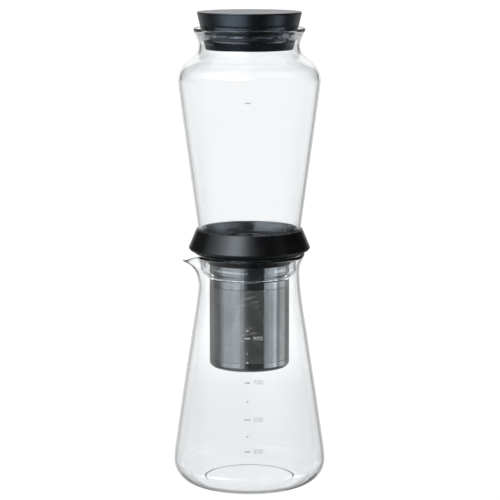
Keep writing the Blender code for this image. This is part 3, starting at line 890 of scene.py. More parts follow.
@dataclass
class GlassServer(SubAssembly):
    """The glass server with its pulled spout and printed volume marks."""

    body: Body = Body.SERVER
    wall: float = 2.0 * MM
    floor: float = 3.0 * MM
    floor_shares: tuple[float, ...] = (0.0, 0.35, 0.7, 0.9)
    foot_radius: float = 40.6 * MM
    foot_land: float = 6.0 * MM
    foot_recess: float = 0.8 * MM
    corner_height: float = 17.2 * MM
    corner_steps: int = 20
    lip_height: float = 13.3 * MM
    waist_radius: float = 38.1 * MM
    rim_radius: float = 42.0 * MM
    spout_reach: float = 9.1 * MM
    spout_droop: float = 5.9 * MM
    spout_height: float = 25.0 * MM
    spout_half_angle: float = math.radians(30.0)
    spout_push_share_power: float = 1.5
    spout_droop_share_power: float = 2.5
    spout_width_share_power: float = 1.3
    tick_across: float = -1.6 * MM
    tick_weight: float = 0.95 * MM
    number_left: float = 2.9 * MM
    number_width: float = 7.2 * MM
    number_rise: float = 3.1 * MM
    flank_shares: Shares = ((0.026, 0.0127), (0.069, 0.048), (0.112, 0.094), (0.198, 0.185), (0.371, 0.372),
                            (0.5415, 0.565), (0.711, 0.757), (0.796, 0.858), (0.881, 0.939),
                            (0.923, 0.972), (0.9755, 0.995))
    lip_shares: Shares = ((0.316, 0.141), (0.541, 0.436), (0.774, 0.769))

    @property
    def outer(self) -> Outline:
        """The outer side, from the rim down to the foot."""
        room = Envelope.of("server_glass")
        rim = (self.rim_radius, room.high - 0.5 * self.wall)
        waist = (self.waist_radius, room.high - self.lip_height)
        belly = (room.radius, self.corner_height)
        foot = (self.foot_radius, room.low)
        lip = between(waist, (self.rim_radius, room.high), reversed(self.lip_shares))
        flank = between(belly, waist, reversed(self.flank_shares))
        line = drawn([rim, *lip, waist, *flank, belly])
        return line + quarter_round(belly, foot, (belly[0], foot[1]), self.corner_steps)[1:]

    @property
    def section(self) -> Outline:
        """The whole section, with the recess in the foot."""
        wall = walled(self.outer, self.wall, self.floor)
        floor = [(wall[0][0] * share, self.floor) for share in self.floor_shares]
        land = self.foot_radius - self.foot_land
        depth = self.foot_recess
        recess = [(land + depth, 0.0), (land, 0.0), (land - 0.5 * depth, 0.3 * depth),
                  (land - depth, 0.8 * depth), (land - 2.0 * depth, depth), (land - 3.0 * depth, depth),
                  (0.0, depth)]
        return [*floor, *wall, *recess]

    def pull_spout(self, shape: Shape) -> None:
        """Draw the lip out and down into a beak that fades out below and sideways.

        Args:
            shape: the turned server.
        """
        start = Envelope.of("server_glass").high - self.spout_height
        for vertex in shape.verts:
            height_share = (vertex.co.z - start) / self.spout_height
            turn_share = abs(math.atan2(vertex.co.y, -vertex.co.x)) / self.spout_half_angle
            if height_share <= 0.0 or turn_share >= 1.0:
                continue
            width_share = (0.5 + 0.5 * math.cos(math.pi * turn_share)) ** self.spout_width_share_power
            radius = math.hypot(vertex.co.x, vertex.co.y)
            push = self.spout_reach * width_share * height_share ** self.spout_push_share_power
            vertex.co.x *= (radius + push) / radius
            vertex.co.y *= (radius + push * (1.0 - 0.5 * width_share)) / radius
            vertex.co.z -= self.spout_droop * width_share * height_share ** self.spout_droop_share_power

    def marks(self) -> list[Mesh]:
        """The ticks and the numbers.

        Returns:
            The flat meshes.
        """
        ticks = ((36.0, MarkKind.LONG), (47.2, MarkKind.SHORT), (59.5, MarkKind.LONG), (72.9, MarkKind.SHORT),
                 (86.8, MarkKind.LONG), (101.7, MarkKind.SHORT), (108.3, MarkKind.DOT),
                 (119.5, MarkKind.LONG), (125.0, MarkKind.SHORT))
        numbers = ((36.2, "300"), (59.7, "500"), (87.1, "700"), (119.5, "900"))
        shapes = [tick_shape(self.tick_across, height * MM, kind.value, self.tick_weight)
                  for height, kind in ticks]
        shapes += [number_shape(number, self.number_left, height * MM, self.number_width, self.number_rise)
                   for height, number in numbers]
        return shapes

    def build(self, finishes: Finishes) -> None:
        """Make, place and dress the server.

        Args:
            finishes: the materials.
        """
        shape = turned_shape(self.section, closed=False, steps=2 * ROUND_STEPS)
        self.pull_spout(shape)
        self.seat(piece_from("server_vessel", shape), finishes.glass, Slot.GLASS, "server_glass")
        self.seat(print_on_glass("server_marks", self.marks(), self.outer), finishes.ink, None)


@dataclass
class Strainer(SubAssembly):
    """The funnel collar and the steel strainer that hangs in it."""

    body: Body = Body.STRAINER
    sheet: float = 0.8 * MM
    band_roll: float = 0.35 * MM
    cup_corner: float = 3.0 * MM
    hole_columns: int = 168
    hole_rows: int = 54
    hole_width_share: float = 0.33
    hole_height_share: float = 0.33
    stagger_share: float = 0.382
    foil: float = 0.3 * MM
    drain_radius: float = 1.2 * MM
    drain_pitch: float = 4.8 * MM
    drain_rings: int = 5
    collar_tip_wall: float = 1.1 * MM
    collar_tip_drop: float = 8.5 * MM
    collar_shelf_drop: float = 4.4 * MM
    collar_cone_radius: float = 37.0 * MM
    collar_lip_width: float = 1.0 * MM
    packing_flange: float = 1.2 * MM
    packing_wall: float = 1.7 * MM
    packing_flare: float = 4.8 * MM
    packing_taper: float = 4.1 * MM
    packing_mouth_radius: float = 38.9 * MM
    packing_waist_radius: float = 35.4 * MM

    @property
    def collar(self) -> Outline:
        """The funnel, with its shelf for the strainer's lip."""
        room = Envelope.of("strainer_collar")
        bore = Envelope.of("strainer_screen").radius + SEAT_GAP
        counterbore = Envelope.of("strainer_band").radius + SEAT_GAP
        flange = room.low + self.collar_tip_drop
        shelf = flange - self.collar_shelf_drop
        seat = flange - SEAT_GAP - self.packing_flange
        lip_bore = room.radius - self.collar_lip_width
        ease, round_edge = 0.3 * MM, 0.5 * MM
        return eased([
            (bore, room.low, ease), (bore, shelf, ease), (counterbore, shelf, 0.0),
            (counterbore, room.high, ease), (room.radius, room.high, round_edge), (room.radius, seat, ease),
            (lip_bore, seat, ease), (lip_bore, flange, 0.0), (self.collar_cone_radius, flange, 0.0),
            (bore + self.collar_tip_wall, room.low, round_edge)])

    @property
    def packing(self) -> Outline:
        """The clear sleeve that hangs from the server's rim, follows its neck and closes on the steel."""
        room = Envelope.of("collar_packing")
        bore = Envelope.of("strainer_screen").radius + SEAT_GAP
        seat = room.high - self.packing_flange
        waist, mouth = self.packing_waist_radius, self.packing_mouth_radius
        inner_waist = waist - self.packing_wall
        inner_mouth = mouth - self.packing_wall + SEAT_GAP
        flare = seat - self.packing_flare
        taper = room.low + self.packing_taper
        edge, bend = 0.2 * MM, 1.6 * MM
        return eased([
            (bore, room.low, 0.0), (bore, room.low + self.packing_wall, edge),
            (inner_waist, taper + 0.5 * self.packing_wall, bend), (inner_waist, flare - SEAT_GAP, bend),
            (inner_mouth, room.high, edge), (room.radius, room.high, edge), (room.radius, seat, edge),
            (mouth, seat, edge), (waist, flare, bend), (waist, taper, bend),
            (bore + SEAT_GAP, room.low, 0.0)])

    @property
    def band(self) -> Outline:
        """The plain band with its rolled lip."""
        room = Envelope.of("strainer_band")
        radius = Envelope.of("strainer_screen").radius
        lip_base = room.high - self.sheet
        edge = 0.1 * MM
        return eased([
            (radius - self.sheet, room.low, edge), (radius - self.sheet, room.high, 0.8 * MM),
            (room.radius, room.high, self.band_roll), (room.radius, lip_base, self.band_roll),
            (radius, lip_base, 0.4 * MM), (radius, room.low, edge)])

    @property
    def cup(self) -> Outline:
        """The plain cup that closes the strainer below."""
        room = Envelope.of("strainer_cup")
        corner = pressed_corner(room.radius, room.low, self.cup_corner)
        straight = (room.radius, corner[0][1] + 0.1 * self.cup_corner)
        outer = [(room.radius, room.high), straight, *corner]
        inner = inset(outer, self.sheet)
        inner[0] = (room.radius - self.sheet, room.high)
        inner[-1] = (inner[-1][0], room.low + self.sheet)
        return [(0.0, room.low + self.sheet), *reversed(inner), *outer, (0.0, room.low)]

    def sleeve(self) -> Piece:
        """The perforated sleeve: staggered holes in a sheet that is wrapped round the axis.

        Every second cell of a flat grid is opened in every second row before the grid is wrapped.

        Returns:
            The piece.
        """
        room = Envelope.of("strainer_screen")
        columns = 2 * self.hole_columns
        rows = 2 * self.hole_rows + 1
        shape = bmesh.new()
        bmesh.ops.create_grid(shape, x_segments=columns, y_segments=rows, size=0.5)
        for vertex in shape.verts:
            vertex.co.x = round((vertex.co.x + 0.5) * columns)
            vertex.co.y = round((vertex.co.y + 0.5) * rows)
        middles = [(face, face.calc_center_median()) for face in shape.faces]
        open_cells = [face for face, middle in middles if int(middle.x) % 2 == 1 and int(middle.y) % 2 == 1]
        bmesh.ops.delete(shape, geom=open_cells, context="FACES")
        pitch = (room.high - room.low) / (self.hole_rows + 1.0 - self.hole_height_share)
        for vertex in shape.verts:
            column, column_part = divmod(int(vertex.co.x), 2)
            row, row_part = divmod(int(vertex.co.y), 2)
            hole_row = row if row_part else row - 1
            around = column + column_part * (1.0 - self.hole_width_share) + self.stagger_share * hole_row
            up = row + row_part * (1.0 - self.hole_height_share)
            turn = 2.0 * math.pi * around / self.hole_columns
            vertex.co = (room.radius * math.cos(turn), room.radius * math.sin(turn), room.low + pitch * up)
        bmesh.ops.remove_doubles(shape, verts=shape.verts, dist=MERGE_DISTANCE)
        piece = piece_from("perforated_sleeve", shape)
        wall = piece.modifiers.new("Wall", "SOLIDIFY")
        wall.thickness = self.foil
        wall.offset = -1.0
        settle(piece)
        return piece

    def build(self, finishes: Finishes) -> None:
        """Make, place and dress the strainer and its collar.

        Args:
            finishes: the materials.
        """
        self.seat(turned("funnel_collar", self.collar), finishes.plastic, Slot.PLASTIC, "strainer_collar")
        self.seat(turned("collar_seal", self.packing), finishes.silicone, Slot.SILICONE, "collar_packing")
        self.seat(turned("strainer_lip_band", self.band), finishes.steel, Slot.STEEL, "strainer_band")
        self.seat(self.sleeve(), finishes.pierced_steel, Slot.STEEL, "strainer_screen")
        cup = turned("drained_cup", self.cup, closed=False)
        drain(cup, self.drain_rings, self.drain_pitch, self.drain_radius, Envelope.of("strainer_cup").low,
              self.sheet)
        self.seat(cup, finishes.steel, Slot.STEEL, "strainer_cup")


@dataclass
class Spreader(SubAssembly):
    """The perforated dish that spreads the drops over the grounds."""

    body: Body = Body.SPREADER
    sheet: float = 0.6 * MM
    corner: float = 2.0 * MM
    wall_inset: float = 1.1 * MM
    hole_radius: float = 1.0 * MM
    hole_pitch: float = 4.6 * MM
    hole_rings: int = 5

    @property
    def section(self) -> Outline:
        """The pressed dish and its lip."""
        room = Envelope.of("spreader_plate")
        radius = Envelope.of("strainer_screen").radius - self.wall_inset
        lip_base = room.high - self.sheet
        corner = pressed_corner(radius, room.low, self.corner)
        inner = inset([(radius, room.high), *corner], self.sheet)
        inner[-1] = (inner[-1][0], room.low + self.sheet)
        return [(0.0, room.low + self.sheet), *reversed(inner[1:]), (radius - self.sheet, room.high),
                (room.radius, room.high), (room.radius, lip_base), (radius, lip_base), *corner,
                (0.0, room.low)]

    def build(self, finishes: Finishes) -> None:
        """Make, place and dress the dish.

        Args:
            finishes: the materials.
        """
        dish = turned("spreader_dish", self.section, closed=False)
        drain(dish, self.hole_rings, self.hole_pitch, self.hole_radius, Envelope.of("spreader_plate").low,
              self.sheet)
        self.seat(dish, finishes.steel, Slot.STEEL, "spreader_plate")


@dataclass
class WaterBowl(SubAssembly):
    """The glass water bowl, the flared holder ring under it and the drip nozzle through both."""

    body: Body = Body.BOWL
    wall: float = 2.0 * MM
    floor: float = 2.5 * MM
    foot_radius: float = 37.4 * MM
    foot_corner: float = 5.0 * MM
    flank_height: float = 124.7 * MM
    neck_radius: float = 38.2 * MM
    lip_height: float = 12.1 * MM
    rim_radius: float = 42.1 * MM
    holder_floor: float = 2.0 * MM
    skirt_drop: float = 1.2 * MM
    skirt_width: float = 4.5 * MM
    skirt_chamfer: Point = (1.3 * MM, 1.7 * MM)
    holder_rim_wall: float = 1.1 * MM
    nozzle_stem: float = 6.0 * MM
    nozzle_gap: float = 0.5 * MM
    nozzle_bore: float = 1.0 * MM
    nozzle_inlet: Point = (4.0 * MM, 3.0 * MM)
    nozzle_tip: Point = (2.4 * MM, 4.0 * MM)
    nozzle_flange: float = 2.0 * MM
    packing_width: float = 8.0 * MM
    mark_height: float = 295.6 * MM
    mark_across: float = -1.1 * MM
    mark_weight: float = 0.75 * MM
    flank_shares: Shares = ((0.25, 0.259), (0.5, 0.518), (0.7, 0.7256), (0.82, 0.85), (0.92, 0.945),
                            (0.965, 0.988))
    shoulder_shares: Shares = ((0.17, 0.04), (0.29, 0.14), (0.40, 0.27), (0.52, 0.487), (0.64, 0.75),
                               (0.78, 0.94))
    lip_shares: Shares = ((0.22, 0.06), (0.46, 0.40), (0.70, 0.72))

    @property
    def hole(self) -> float:
        """Radius of the hole for the nozzle's stem."""
        return self.nozzle_stem + self.nozzle_gap

    @property
    def outer(self) -> Outline:
        """The glass's outer side, from the rim down to the foot."""
        room = Envelope.of("water_bowl_glass")
        rim = (self.rim_radius, room.high - 0.5 * self.wall)
        neck = (self.neck_radius, room.high - self.lip_height)
        shoulder = (room.radius, room.low + self.flank_height)
        foot = (self.foot_radius, room.low)
        lean = (shoulder[0] - foot[0]) / (shoulder[1] - foot[1])
        corner_top = (foot[0] + lean * self.foot_corner, foot[1] + self.foot_corner)
        lip = between(neck, (self.rim_radius, room.high), reversed(self.lip_shares))
        slope = between(shoulder, neck, reversed(self.shoulder_shares))
        flank = between(foot, shoulder, reversed(self.flank_shares))
        line = drawn([rim, *lip, neck, *slope, shoulder, *flank, corner_top])
        return line + quarter_round(corner_top, (foot[0] - self.foot_corner, foot[1]), foot)[1:]

    @property
    def section(self) -> Outline:
        """The glass's whole section, with the hole for the nozzle."""
        low = Envelope.of("water_bowl_glass").low
        top = low + self.floor
        wall = walled(self.outer, self.wall, top)
        corner = wall[0][0]
        return [(self.hole, low), (self.hole, top), (0.5 * (self.hole + corner), top),
                (corner - 1.0 * MM, top), *wall]

    @property
    def holder(self) -> Outline:
        """The flared ring that carries the glass."""
        room = Envelope.of("holder_ring")
        floor_base = room.low + self.skirt_drop
        floor_top = floor_base + self.holder_floor
        foot_bore = self.foot_radius + SEAT_GAP
        rim_bore = radius_at(self.outer, room.high) + SEAT_GAP
        chamfer_in, chamfer_up = self.skirt_chamfer
        skirt_bore = room.radius - self.skirt_width
        ease, fine_edge = 0.4 * MM, 0.2 * MM
        return eased([
            (self.hole, floor_base, fine_edge), (self.hole, floor_top, fine_edge),
            (foot_bore, floor_top, 0.0), (foot_bore, Envelope.of("water_bowl_glass").low, 0.8 * MM),
            (rim_bore, room.high, ease), (rim_bore + self.holder_rim_wall, room.high, ease),
            (room.radius, room.low + chamfer_up, 0.5 * MM), (room.radius - chamfer_in, room.low, ease),
            (skirt_bore, room.low, ease), (skirt_bore, floor_base, 0.0)])

    def ring_packing(self, node: str, outer: float, width: float) -> Outline:
        """A flat soft ring with eased edges.

        Args:
            node: the CAD node that it stands for.
            outer: its outer radius.
            width: how wide it is.

        Returns:
            The outline.
        """
        room = Envelope.of(node)
        ease = 0.35 * MM
        return eased([(outer - width, room.low, ease), (outer - width, room.high, ease),
                      (outer, room.high, ease), (outer, room.low, ease)])

    @property
    def nozzle(self) -> Outline:
        """The drip nozzle, with its funnelled inlet and narrow tip."""
        room = Envelope.of("drip_nozzle")
        inlet_radius, inlet_depth = self.nozzle_inlet
        tip_radius, tip_height = self.nozzle_tip
        flange_base = room.high - self.nozzle_flange
        ease, round_edge = 0.4 * MM, 0.6 * MM
        return eased([
            (self.nozzle_bore, room.low, 0.1 * MM), (self.nozzle_bore, room.high - inlet_depth, ease),
            (inlet_radius, room.high, round_edge), (room.radius, room.high, round_edge),
            (room.radius, flange_base, ease), (self.nozzle_stem, flange_base, 0.0),
            (self.nozzle_stem, room.low + tip_height, ease), (tip_radius, room.low, ease)])

    def build(self, finishes: Finishes) -> None:
        """Make, place and dress the bowl, its holder and the nozzle.

        Args:
            finishes: the materials.
        """
        self.seat(turned("flared_holder", self.holder), finishes.plastic, Slot.PLASTIC, "holder_ring")
        seat = self.ring_packing("bowl_packing", self.foot_radius - self.foot_corner, self.packing_width)
        self.seat(turned("bowl_seat_seal", seat), finishes.silicone, Slot.SILICONE, "bowl_packing")
        self.seat(turned("water_vessel", self.section), finishes.glass, Slot.GLASS, "water_bowl_glass")
        reach = Envelope.of("nozzle_packing").radius
        washer = self.ring_packing("nozzle_packing", reach, reach - self.hole)
        self.seat(turned("nozzle_seal", washer), finishes.silicone, Slot.SILICONE, "nozzle_packing")
        self.seat(turned("drip_nozzle_body", self.nozzle), finishes.dull_plastic, Slot.PLASTIC,
                  "drip_nozzle")
        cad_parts["nozzle_nut"].data.materials[0] = finishes.dull_plastic
        LOG.info("nozzle_nut: %s, the CAD node itself", finishes.dull_plastic.name)
        tick = tick_shape(self.mark_across, self.mark_height, MarkKind.LONG.value, self.mark_weight)
        self.seat(print_on_glass("water_vessel_mark", [tick], self.outer), finishes.ink, None)


@dataclass
class Lid(SubAssembly):
    """The tapered lid, open below, and the clear lip ring that seats it in the neck."""

    body: Body = Body.LID
    base_radius: float = 32.8 * MM
    wall: float = 2.2 * MM
    top: float = 2.5 * MM
    groove: float = 1.0 * MM
    lip: float = 0.9 * MM
    waist: float = 0.7 * MM

    def side(self, height: float) -> float:
        """The shell's outer radius at a height."""
        base, room = self.base_radius, Envelope.of("lid_shell")
        return base + (room.radius - base) * (height - room.low) / (room.high - room.low)

    @property
    def shell(self) -> Outline:
        """The moulded shell with its groove."""
        room = Envelope.of("lid_shell")
        packing = Envelope.of("lid_packing")
        inner_top = room.high - self.top
        low, high = packing.low - SEAT_GAP, packing.high + SEAT_GAP
        edge = 0.15 * MM
        corners = [
            (0.0, inner_top, 0.0), (self.side(inner_top) - self.wall, inner_top, 1.5 * MM),
            (self.base_radius - self.wall, room.low, 0.4 * MM), (self.base_radius, room.low, 0.5 * MM),
            (self.side(low), low, edge), (self.side(low) - self.groove, low, 0.0),
            (self.side(high) - self.groove, high, 0.0), (self.side(high), high, edge),
            (room.radius, room.high, 1.2 * MM), (0.0, room.high, 0.0)]
        return list(reversed(eased(corners, closed=False)))

    def packing(self, neck: Sequence[Point]) -> Outline:
        """The clear ring, with two soft lips towards the glass.

        Args:
            neck: the bowl's inner side, running down.

        Returns:
            The outline.
        """
        room = Envelope.of("lid_packing")
        middle = 0.5 * (room.low + room.high)
        core = self.groove - SEAT_GAP
        upper = radius_at(neck, room.high - self.lip) - SEAT_GAP
        lower = radius_at(neck, room.low) - SEAT_GAP
        ease, fine_edge = 0.4 * MM, 0.2 * MM
        return eased([
            (self.side(room.low) - core, room.low, fine_edge),
            (self.side(room.high) - core, room.high, fine_edge), (upper, room.high, ease),
            (upper, room.high - self.lip, ease), (self.side(middle) + self.waist, middle, 2.0 * ease),
            (lower, room.low + self.lip, ease), (lower, room.low, ease)])

    def build(self, finishes: Finishes, neck: Sequence[Point]) -> None:
        """Make, place and dress the lid.

        Args:
            finishes: the materials.
            neck: the bowl's inner side, running down.
        """
        shell = turned("tapered_lid", self.shell, closed=False)
        self.seat(shell, finishes.polished_plastic, Slot.PLASTIC, "lid_shell")
        self.seat(turned("lid_seal", self.packing(neck)), finishes.silicone, Slot.SILICONE, "lid_packing")


# Studio


@dataclass(frozen=True)
class Belt:
    """What a reflection sees round one range of elevations.

    Each band gives the azimuth where it starts, in degrees from the camera's side and positive to the
    right, and how bright it is. The last band joins the first. The top is an elevation in degrees.
    """

    bands: tuple[Point, ...]
    top: float = 90.0
    edge: float = 10.0

    def level(self, graph: Graph, azimuth: Signal) -> Signal:
        """Brightness of the belt.

        Args:
            graph: what adds nodes.
            azimuth: the direction, as a share of the round that starts behind the object.

        Returns:
            The brightness.
        """
        stops = []
        before = self.bands[-1][1]
        half = 0.5 * self.edge / 360.0
        for start, bright in self.bands:
            place = (start + 180.0) / 360.0
            stops += [(max(0.0, place - half), before), (min(1.0, place + half), bright)]
            before = bright
        return graph.parts(graph.output("ShaderNodeValToRGB", {0: azimuth}, stops=stops))[0]


@dataclass
class Studio:
    """The plain pale studio: floor, surroundings, softbox and camera.

    The outer belts are what the outer surfaces reflect, and the inner ones what is reflected behind glass.
    Both run from straight below to straight above. The bore belt is what the far side of the bowl's holder
    reflects upwards behind two glass walls.
    """

    outer: tuple[Belt, ...] = (
        Belt(((-180, 0.4), (-110, 0.2), (-15, 0.12), (0, 0.05), (60, 0.1), (120, 0.4)), -60.0),
        Belt(((-180, 0.4), (-110, 0.15), (-5, 0.03), (80, 0.1), (120, 0.4)), -37.0),
        Belt(((-180, 0.25), (-142, 0.02), (-104, 0.4), (-93, 1.2), (-86, 1.9), (-74, 2.6), (-62, 2.8),
              (-38, 2.4), (-24, 1.7), (-11, 1.0), (-3, 0.02), (45, 0.6), (66, 2.8), (91, 1.0),
              (103, 0.02), (145, 0.15)), -26.5, 7.0),
        Belt(((-180, 0.5), (-145, 0.1), (-105, 0.05), (105, 0.1), (145, 0.4)), -15.0),
        Belt(((-180, 0.5), (-145, 0.45), (-115, 0.4), (-95, 0.05), (95, 0.35), (115, 0.4), (145, 0.4)), -4.0),
        Belt(((-180, 0.85), (-155, 0.04), (155, 0.75)), 13.0),
        Belt(((-180, 1.0), (-150, 0.05), (-97, 0.8), (-80, 1.6), (-66, 2.7), (-54, 4.2), (-43, 6.0),
              (-21, 4.2), (-13, 2.4), (-6, 1.2), (2, 0.5), (11, 0.15), (19, 0.0), (58, 0.15), (80, 0.0),
              (150, 1.0)), 50.0, 7.0),
        Belt(((-180, 1.0), (-130, 0.6), (-60, 1.2), (-10, 0.4), (20, 0.1), (130, 1.0)), edge=20.0))
    inner: tuple[Belt, ...] = (
        Belt(((-180, 0.4), (-110, 0.15), (0, 0.03), (60, 0.08), (120, 0.4)), -37.0),
        Belt(((-180, 0.4), (-142, 0.1), (-95, 0.3), (-56, 0.5), (-20, 0.3), (-4, 0.05), (52, 0.2),
              (90, 0.1), (145, 0.4)), -26.5),
        Belt(((-180, 1.0), (-145, 0.3), (-105, 0.05), (105, 0.3), (145, 1.0)), -15.0),
        Belt(((-180, 1.0), (-166, 0.33), (-119, 0.2), (-91, 0.45), (-80, 0.78), (-50, 0.93), (-27, 0.56),
              (-15, 0.16), (-6, 0.035), (43, 0.57), (56, 0.8), (72, 1.25), (84, 0.48), (97, 0.8),
              (122, 0.33), (166, 1.0)), -4.0, 2.5),
        Belt(((-180, 1.0), (-140, 0.2), (-70, 0.05), (70, 0.2), (140, 1.0)), 13.0, 20.0),
        Belt(((-180, 0.8), (-150, 0.1), (-97, 0.6), (-66, 1.0), (-21, 0.7), (-10, 0.3), (20, 0.1),
              (68, 0.8), (98, 0.2), (150, 0.8)), 50.0),
        Belt(((-180, 1.0), (-130, 0.6), (130, 1.0)), edge=20.0))
    bore: Belt = Belt(((-180, 4.0), (-135, 14.0), (-60, 16.0), (-42, 60.0), (-20, 5.0), (-10, 1.0),
                       (18, 5.0), (38, 8.0), (50, 10.0), (60, 30.0), (70, 110.0), (79, 10.0), (90, 1.0),
                       (105, 20.0), (140, 5.0)))
    bore_rise: Point = (0.03, 0.07)
    bore_fall: Point = (0.17, 0.24)
    backdrop_rise: Point = (0.9, 0.98)
    side_fall: Point = (0.3, 0.8)
    cool_fall: Point = (0.0, 0.6)
    near_fall: Point = (0.2, 0.6)
    lift_rise: Point = (0.3, 0.6)
    lift_fall: Point = (0.85, 1.2)
    blur: float = 2.0
    cool: Colour = (0.84, 0.92, 1.0)
    # painted shade: tint of the floor seen through glass near the object
    shaded_near_backdrop: Colour = (0.93, 0.935, 0.945)
    paper: tuple[Colour, Colour] = ((0.86, 0.86, 0.86), (0.90, 0.90, 0.90))
    paper_scale: float = 25.0
    glare: float = 0.06
    # painted light: lift of the floor seen through glass in a ring further out; side_share is the painted
    # shade towards the sides
    lift: float = 0.15
    side_share: float = 0.15
    ambient: float = 0.5
    white: float = 1.1
    shadow_share: float = 0.12
    floor_reach: float = 14.0
    shadow_reach: float = 0.45
    lamp_azimuth: float = math.radians(-34.0)
    lamp_elevation: float = math.radians(38.0)
    lamp_distance: float = 1.25
    lamp_size: Point = (0.62, 1.0)
    lamp_radiance: float = 4.6
    camera_place: Triple = (0.00046, -1.5755, 0.4345)
    camera_tilt: float = math.radians(80.8)
    camera_lens: float = 151.2
    camera_sensor: float = 36.0

    def paths(self, graph: Graph) -> dict[str, Signal]:
        """What kind of ray sees the surroundings.

        Args:
            graph: what adds nodes.

        Returns:
            Ones and noughts: "seen" straight or through glass, "through" glass only, "glossy" for a
            reflection, "within" for any ray that has passed glass, "inner" for a reflection from behind a
            glass wall, "deep" for one from behind two, and "dull" for light off a dull surface.
        """
        path = graph.add("ShaderNodeLightPath")
        camera, through, shiny, dull_depth, shiny_depth, glass_depth = [
            Signal(graph, path.outputs[name])
            for name in ("Is Camera Ray", "Is Transmission Ray", "Is Glossy Ray", "Diffuse Depth",
                         "Glossy Depth", "Transmission Depth")]
        dull = dull_depth.at_most(1.0)
        glossy = shiny_depth.at_most(1.0) * (1.0 - dull)
        seen = (camera + through + shiny).at_most(1.0) * (1.0 - dull) * (1.0 - glossy)
        return {"seen": seen, "through": through, "glossy": glossy, "dull": dull,
                "within": glass_depth.at_most(1.0), "inner": graph.math("GREATER_THAN", glass_depth, 2.5),
                "deep": graph.math("COMPARE", glass_depth, 8.0, 0.5)}

    def around(self, graph: Graph, belts: Sequence[Belt], azimuth: Signal, upward: Signal) -> Signal:
        """Brightness that the belts give to a direction.

        Args:
            graph: what adds nodes.
            belts: the belts, from the lowest up.
            azimuth: the direction, as a share of the round that starts behind the object.
            upward: the direction's height, from -1 to 1.

        Returns:
            The brightness.
        """
        level = belts[0].level(graph, azimuth)
        for below, belt in zip(belts, belts[1:]):
            low, high = [math.sin(math.radians(below.top + side * self.blur)) for side in (-0.5, 0.5)]
            level = level.towards(belt.level(graph, azimuth), upward.step(low, high))
        return level

    def surround(self) -> None:
        """Make the world, which shows white to the camera and the belts to reflections."""
        world = bpy.data.worlds.new("pale_studio")
        world.use_nodes = True
        world.cycles.sampling_method = "NONE"
        bpy.context.scene.world = world
        graph = Graph(world.node_tree)
        x, y, z = graph.parts(graph.add("ShaderNodeTexCoord").outputs["Generated"])
        azimuth = graph.math("ARCTAN2", x, -y) / (2.0 * math.pi) + 0.5
        kinds = self.paths(graph)
        outer, inner = [self.around(graph, belts, azimuth, z) for belts in (self.outer, self.inner)]
        bore = kinds["deep"] * z.step(*self.bore_rise) * (1.0 - z.step(*self.bore_fall))
        pattern = outer.towards(inner, kinds["inner"]).towards(self.bore.level(graph, azimuth), bore)
        backdrop = kinds["within"] * y.step(*self.backdrop_rise)
        pattern = pattern * (1.0 - backdrop) + backdrop
        beside = self.side_share * (1.0 - y.step(*self.side_fall))
        level = (kinds["seen"] * (1.0 + kinds["through"] * (self.glare - beside)) + kinds["glossy"] * pattern
                 + kinds["dull"] * self.ambient)
        cool = kinds["glossy"] * (1.0 - y.step(*self.cool_fall))
        sky = graph.output("ShaderNodeBackground",
                           {"Color": graph.scaled(graph.blend(cool, WHITE, self.cool), level)})
        graph.add("ShaderNodeOutputWorld", {"Surface": sky})

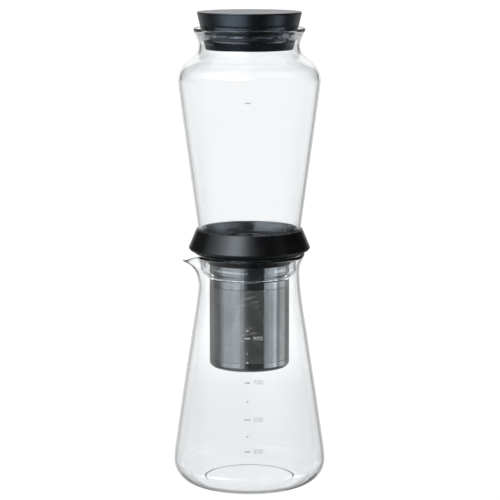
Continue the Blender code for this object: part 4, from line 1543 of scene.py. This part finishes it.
    def lay_floor(self) -> None:
        """Make the pale floor, which keeps the object's shadow and which reflections look through; seen
        through glass it has painted shade near the object and towards the sides, and a painted light ring
        further out.
        """
        material, graph = new_material("pale_floor")
        material.cycles.emission_sampling = "NONE"
        x, y, _ = graph.parts(graph.add("ShaderNodeNewGeometry").outputs["Position"])
        reach = graph.math("SQRT", x * x + y * y)
        kinds = self.paths(graph)
        through = kinds["through"]
        shade = self.shadow_share * (1.0 - reach.step(0.3 * self.shadow_reach, self.shadow_reach))
        # painted shade: the floor seen through glass is tinted darker near the object
        near = through * (1.0 - reach.step(*self.near_fall))
        # painted light: a brighter ring further out, seen through glass
        lift = self.lift * through * reach.step(*self.lift_rise) * (1.0 - reach.step(*self.lift_fall))
        # painted shade: the floor seen through glass is darker towards the sides
        beside = (self.side_share * through * (1.0 - (y / reach).step(*self.side_fall))
                  * reach.step(*self.near_fall))
        colour = graph.scaled(graph.blend(near, WHITE, self.shaded_near_backdrop),
                              kinds["seen"] * self.white * (1.0 - beside + lift))
        glow = graph.output("ShaderNodeEmission", {"Color": colour, "Strength": 1.0})
        tone = graph.blend(graph.noise(self.paper_scale, 3.0), *self.paper)
        paper = graph.output("ShaderNodeBsdfDiffuse", {"Color": tone})
        lit = graph.output("ShaderNodeMixShader", {0: kinds["seen"] * (1.0 - shade), 1: paper, 2: glow})
        clear = graph.output("ShaderNodeBsdfTransparent")
        surface = graph.output("ShaderNodeMixShader", {0: kinds["glossy"], 1: lit, 2: clear})
        graph.add("ShaderNodeOutputMaterial", {"Surface": surface})
        shape = bmesh.new()
        bmesh.ops.create_grid(shape, x_segments=8, y_segments=8, size=self.floor_reach)
        floor = piece_from("pale_floor", shape)
        floor.data.materials.append(material)

    def hang_lamp(self) -> None:
        """Hang the softbox to the left, in front of and above the object."""
        width, height = self.lamp_size
        lamp = bpy.data.lights.new("softbox", "AREA")
        lamp.shape = "RECTANGLE"
        lamp.size = width
        lamp.size_y = height
        lamp.energy = self.lamp_radiance * math.pi * width * height
        level = math.cos(self.lamp_elevation)
        aim = Vector((0.0, 0.0, 0.5 * (CAD_BOX[0].z + CAD_BOX[1].z)))
        towards = Vector((math.sin(self.lamp_azimuth) * level, -math.cos(self.lamp_azimuth) * level,
                          math.sin(self.lamp_elevation)))
        box = placed("softbox", lamp)
        box.location = aim + towards * self.lamp_distance
        box.rotation_euler = towards.to_track_quat("Z", "Y").to_euler()
        box.visible_camera = False
        box.visible_glossy = False
        box.visible_transmission = False

    def set_camera(self) -> None:
        """Put the camera where the photograph was taken from."""
        lens = bpy.data.cameras.new("camera")
        lens.lens = self.camera_lens
        lens.sensor_width = self.camera_sensor
        camera = placed("camera", lens)
        camera.location = self.camera_place
        camera.rotation_euler = (self.camera_tilt, 0.0, 0.0)
        bpy.context.scene.camera = camera

    def build(self) -> None:
        """Make the studio, with light paths long enough for four glass walls."""
        scene = bpy.context.scene
        scene.view_settings.view_transform = "Standard"
        scene.cycles.max_bounces = 32
        scene.cycles.transmission_bounces = 32
        scene.cycles.glossy_bounces = 12
        scene.cycles.transparent_max_bounces = 32
        self.surround()
        self.lay_floor()
        self.hang_lamp()
        self.set_camera()
        LOG.info("studio: world, floor, softbox and camera")


def main() -> None:
    """Build the studio and dress every body, from the table upwards."""
    logging.basicConfig(level=logging.INFO, format="%(name)s: %(message)s")
    Studio().build()
    finishes = Finishes.made()
    GlassServer().build(finishes)
    Strainer().build(finishes)
    Spreader().build(finishes)
    bowl = WaterBowl()
    bowl.build(finishes)
    Lid().build(finishes, inset(bowl.outer, bowl.wall))


if __name__ == "__main__":
    main()
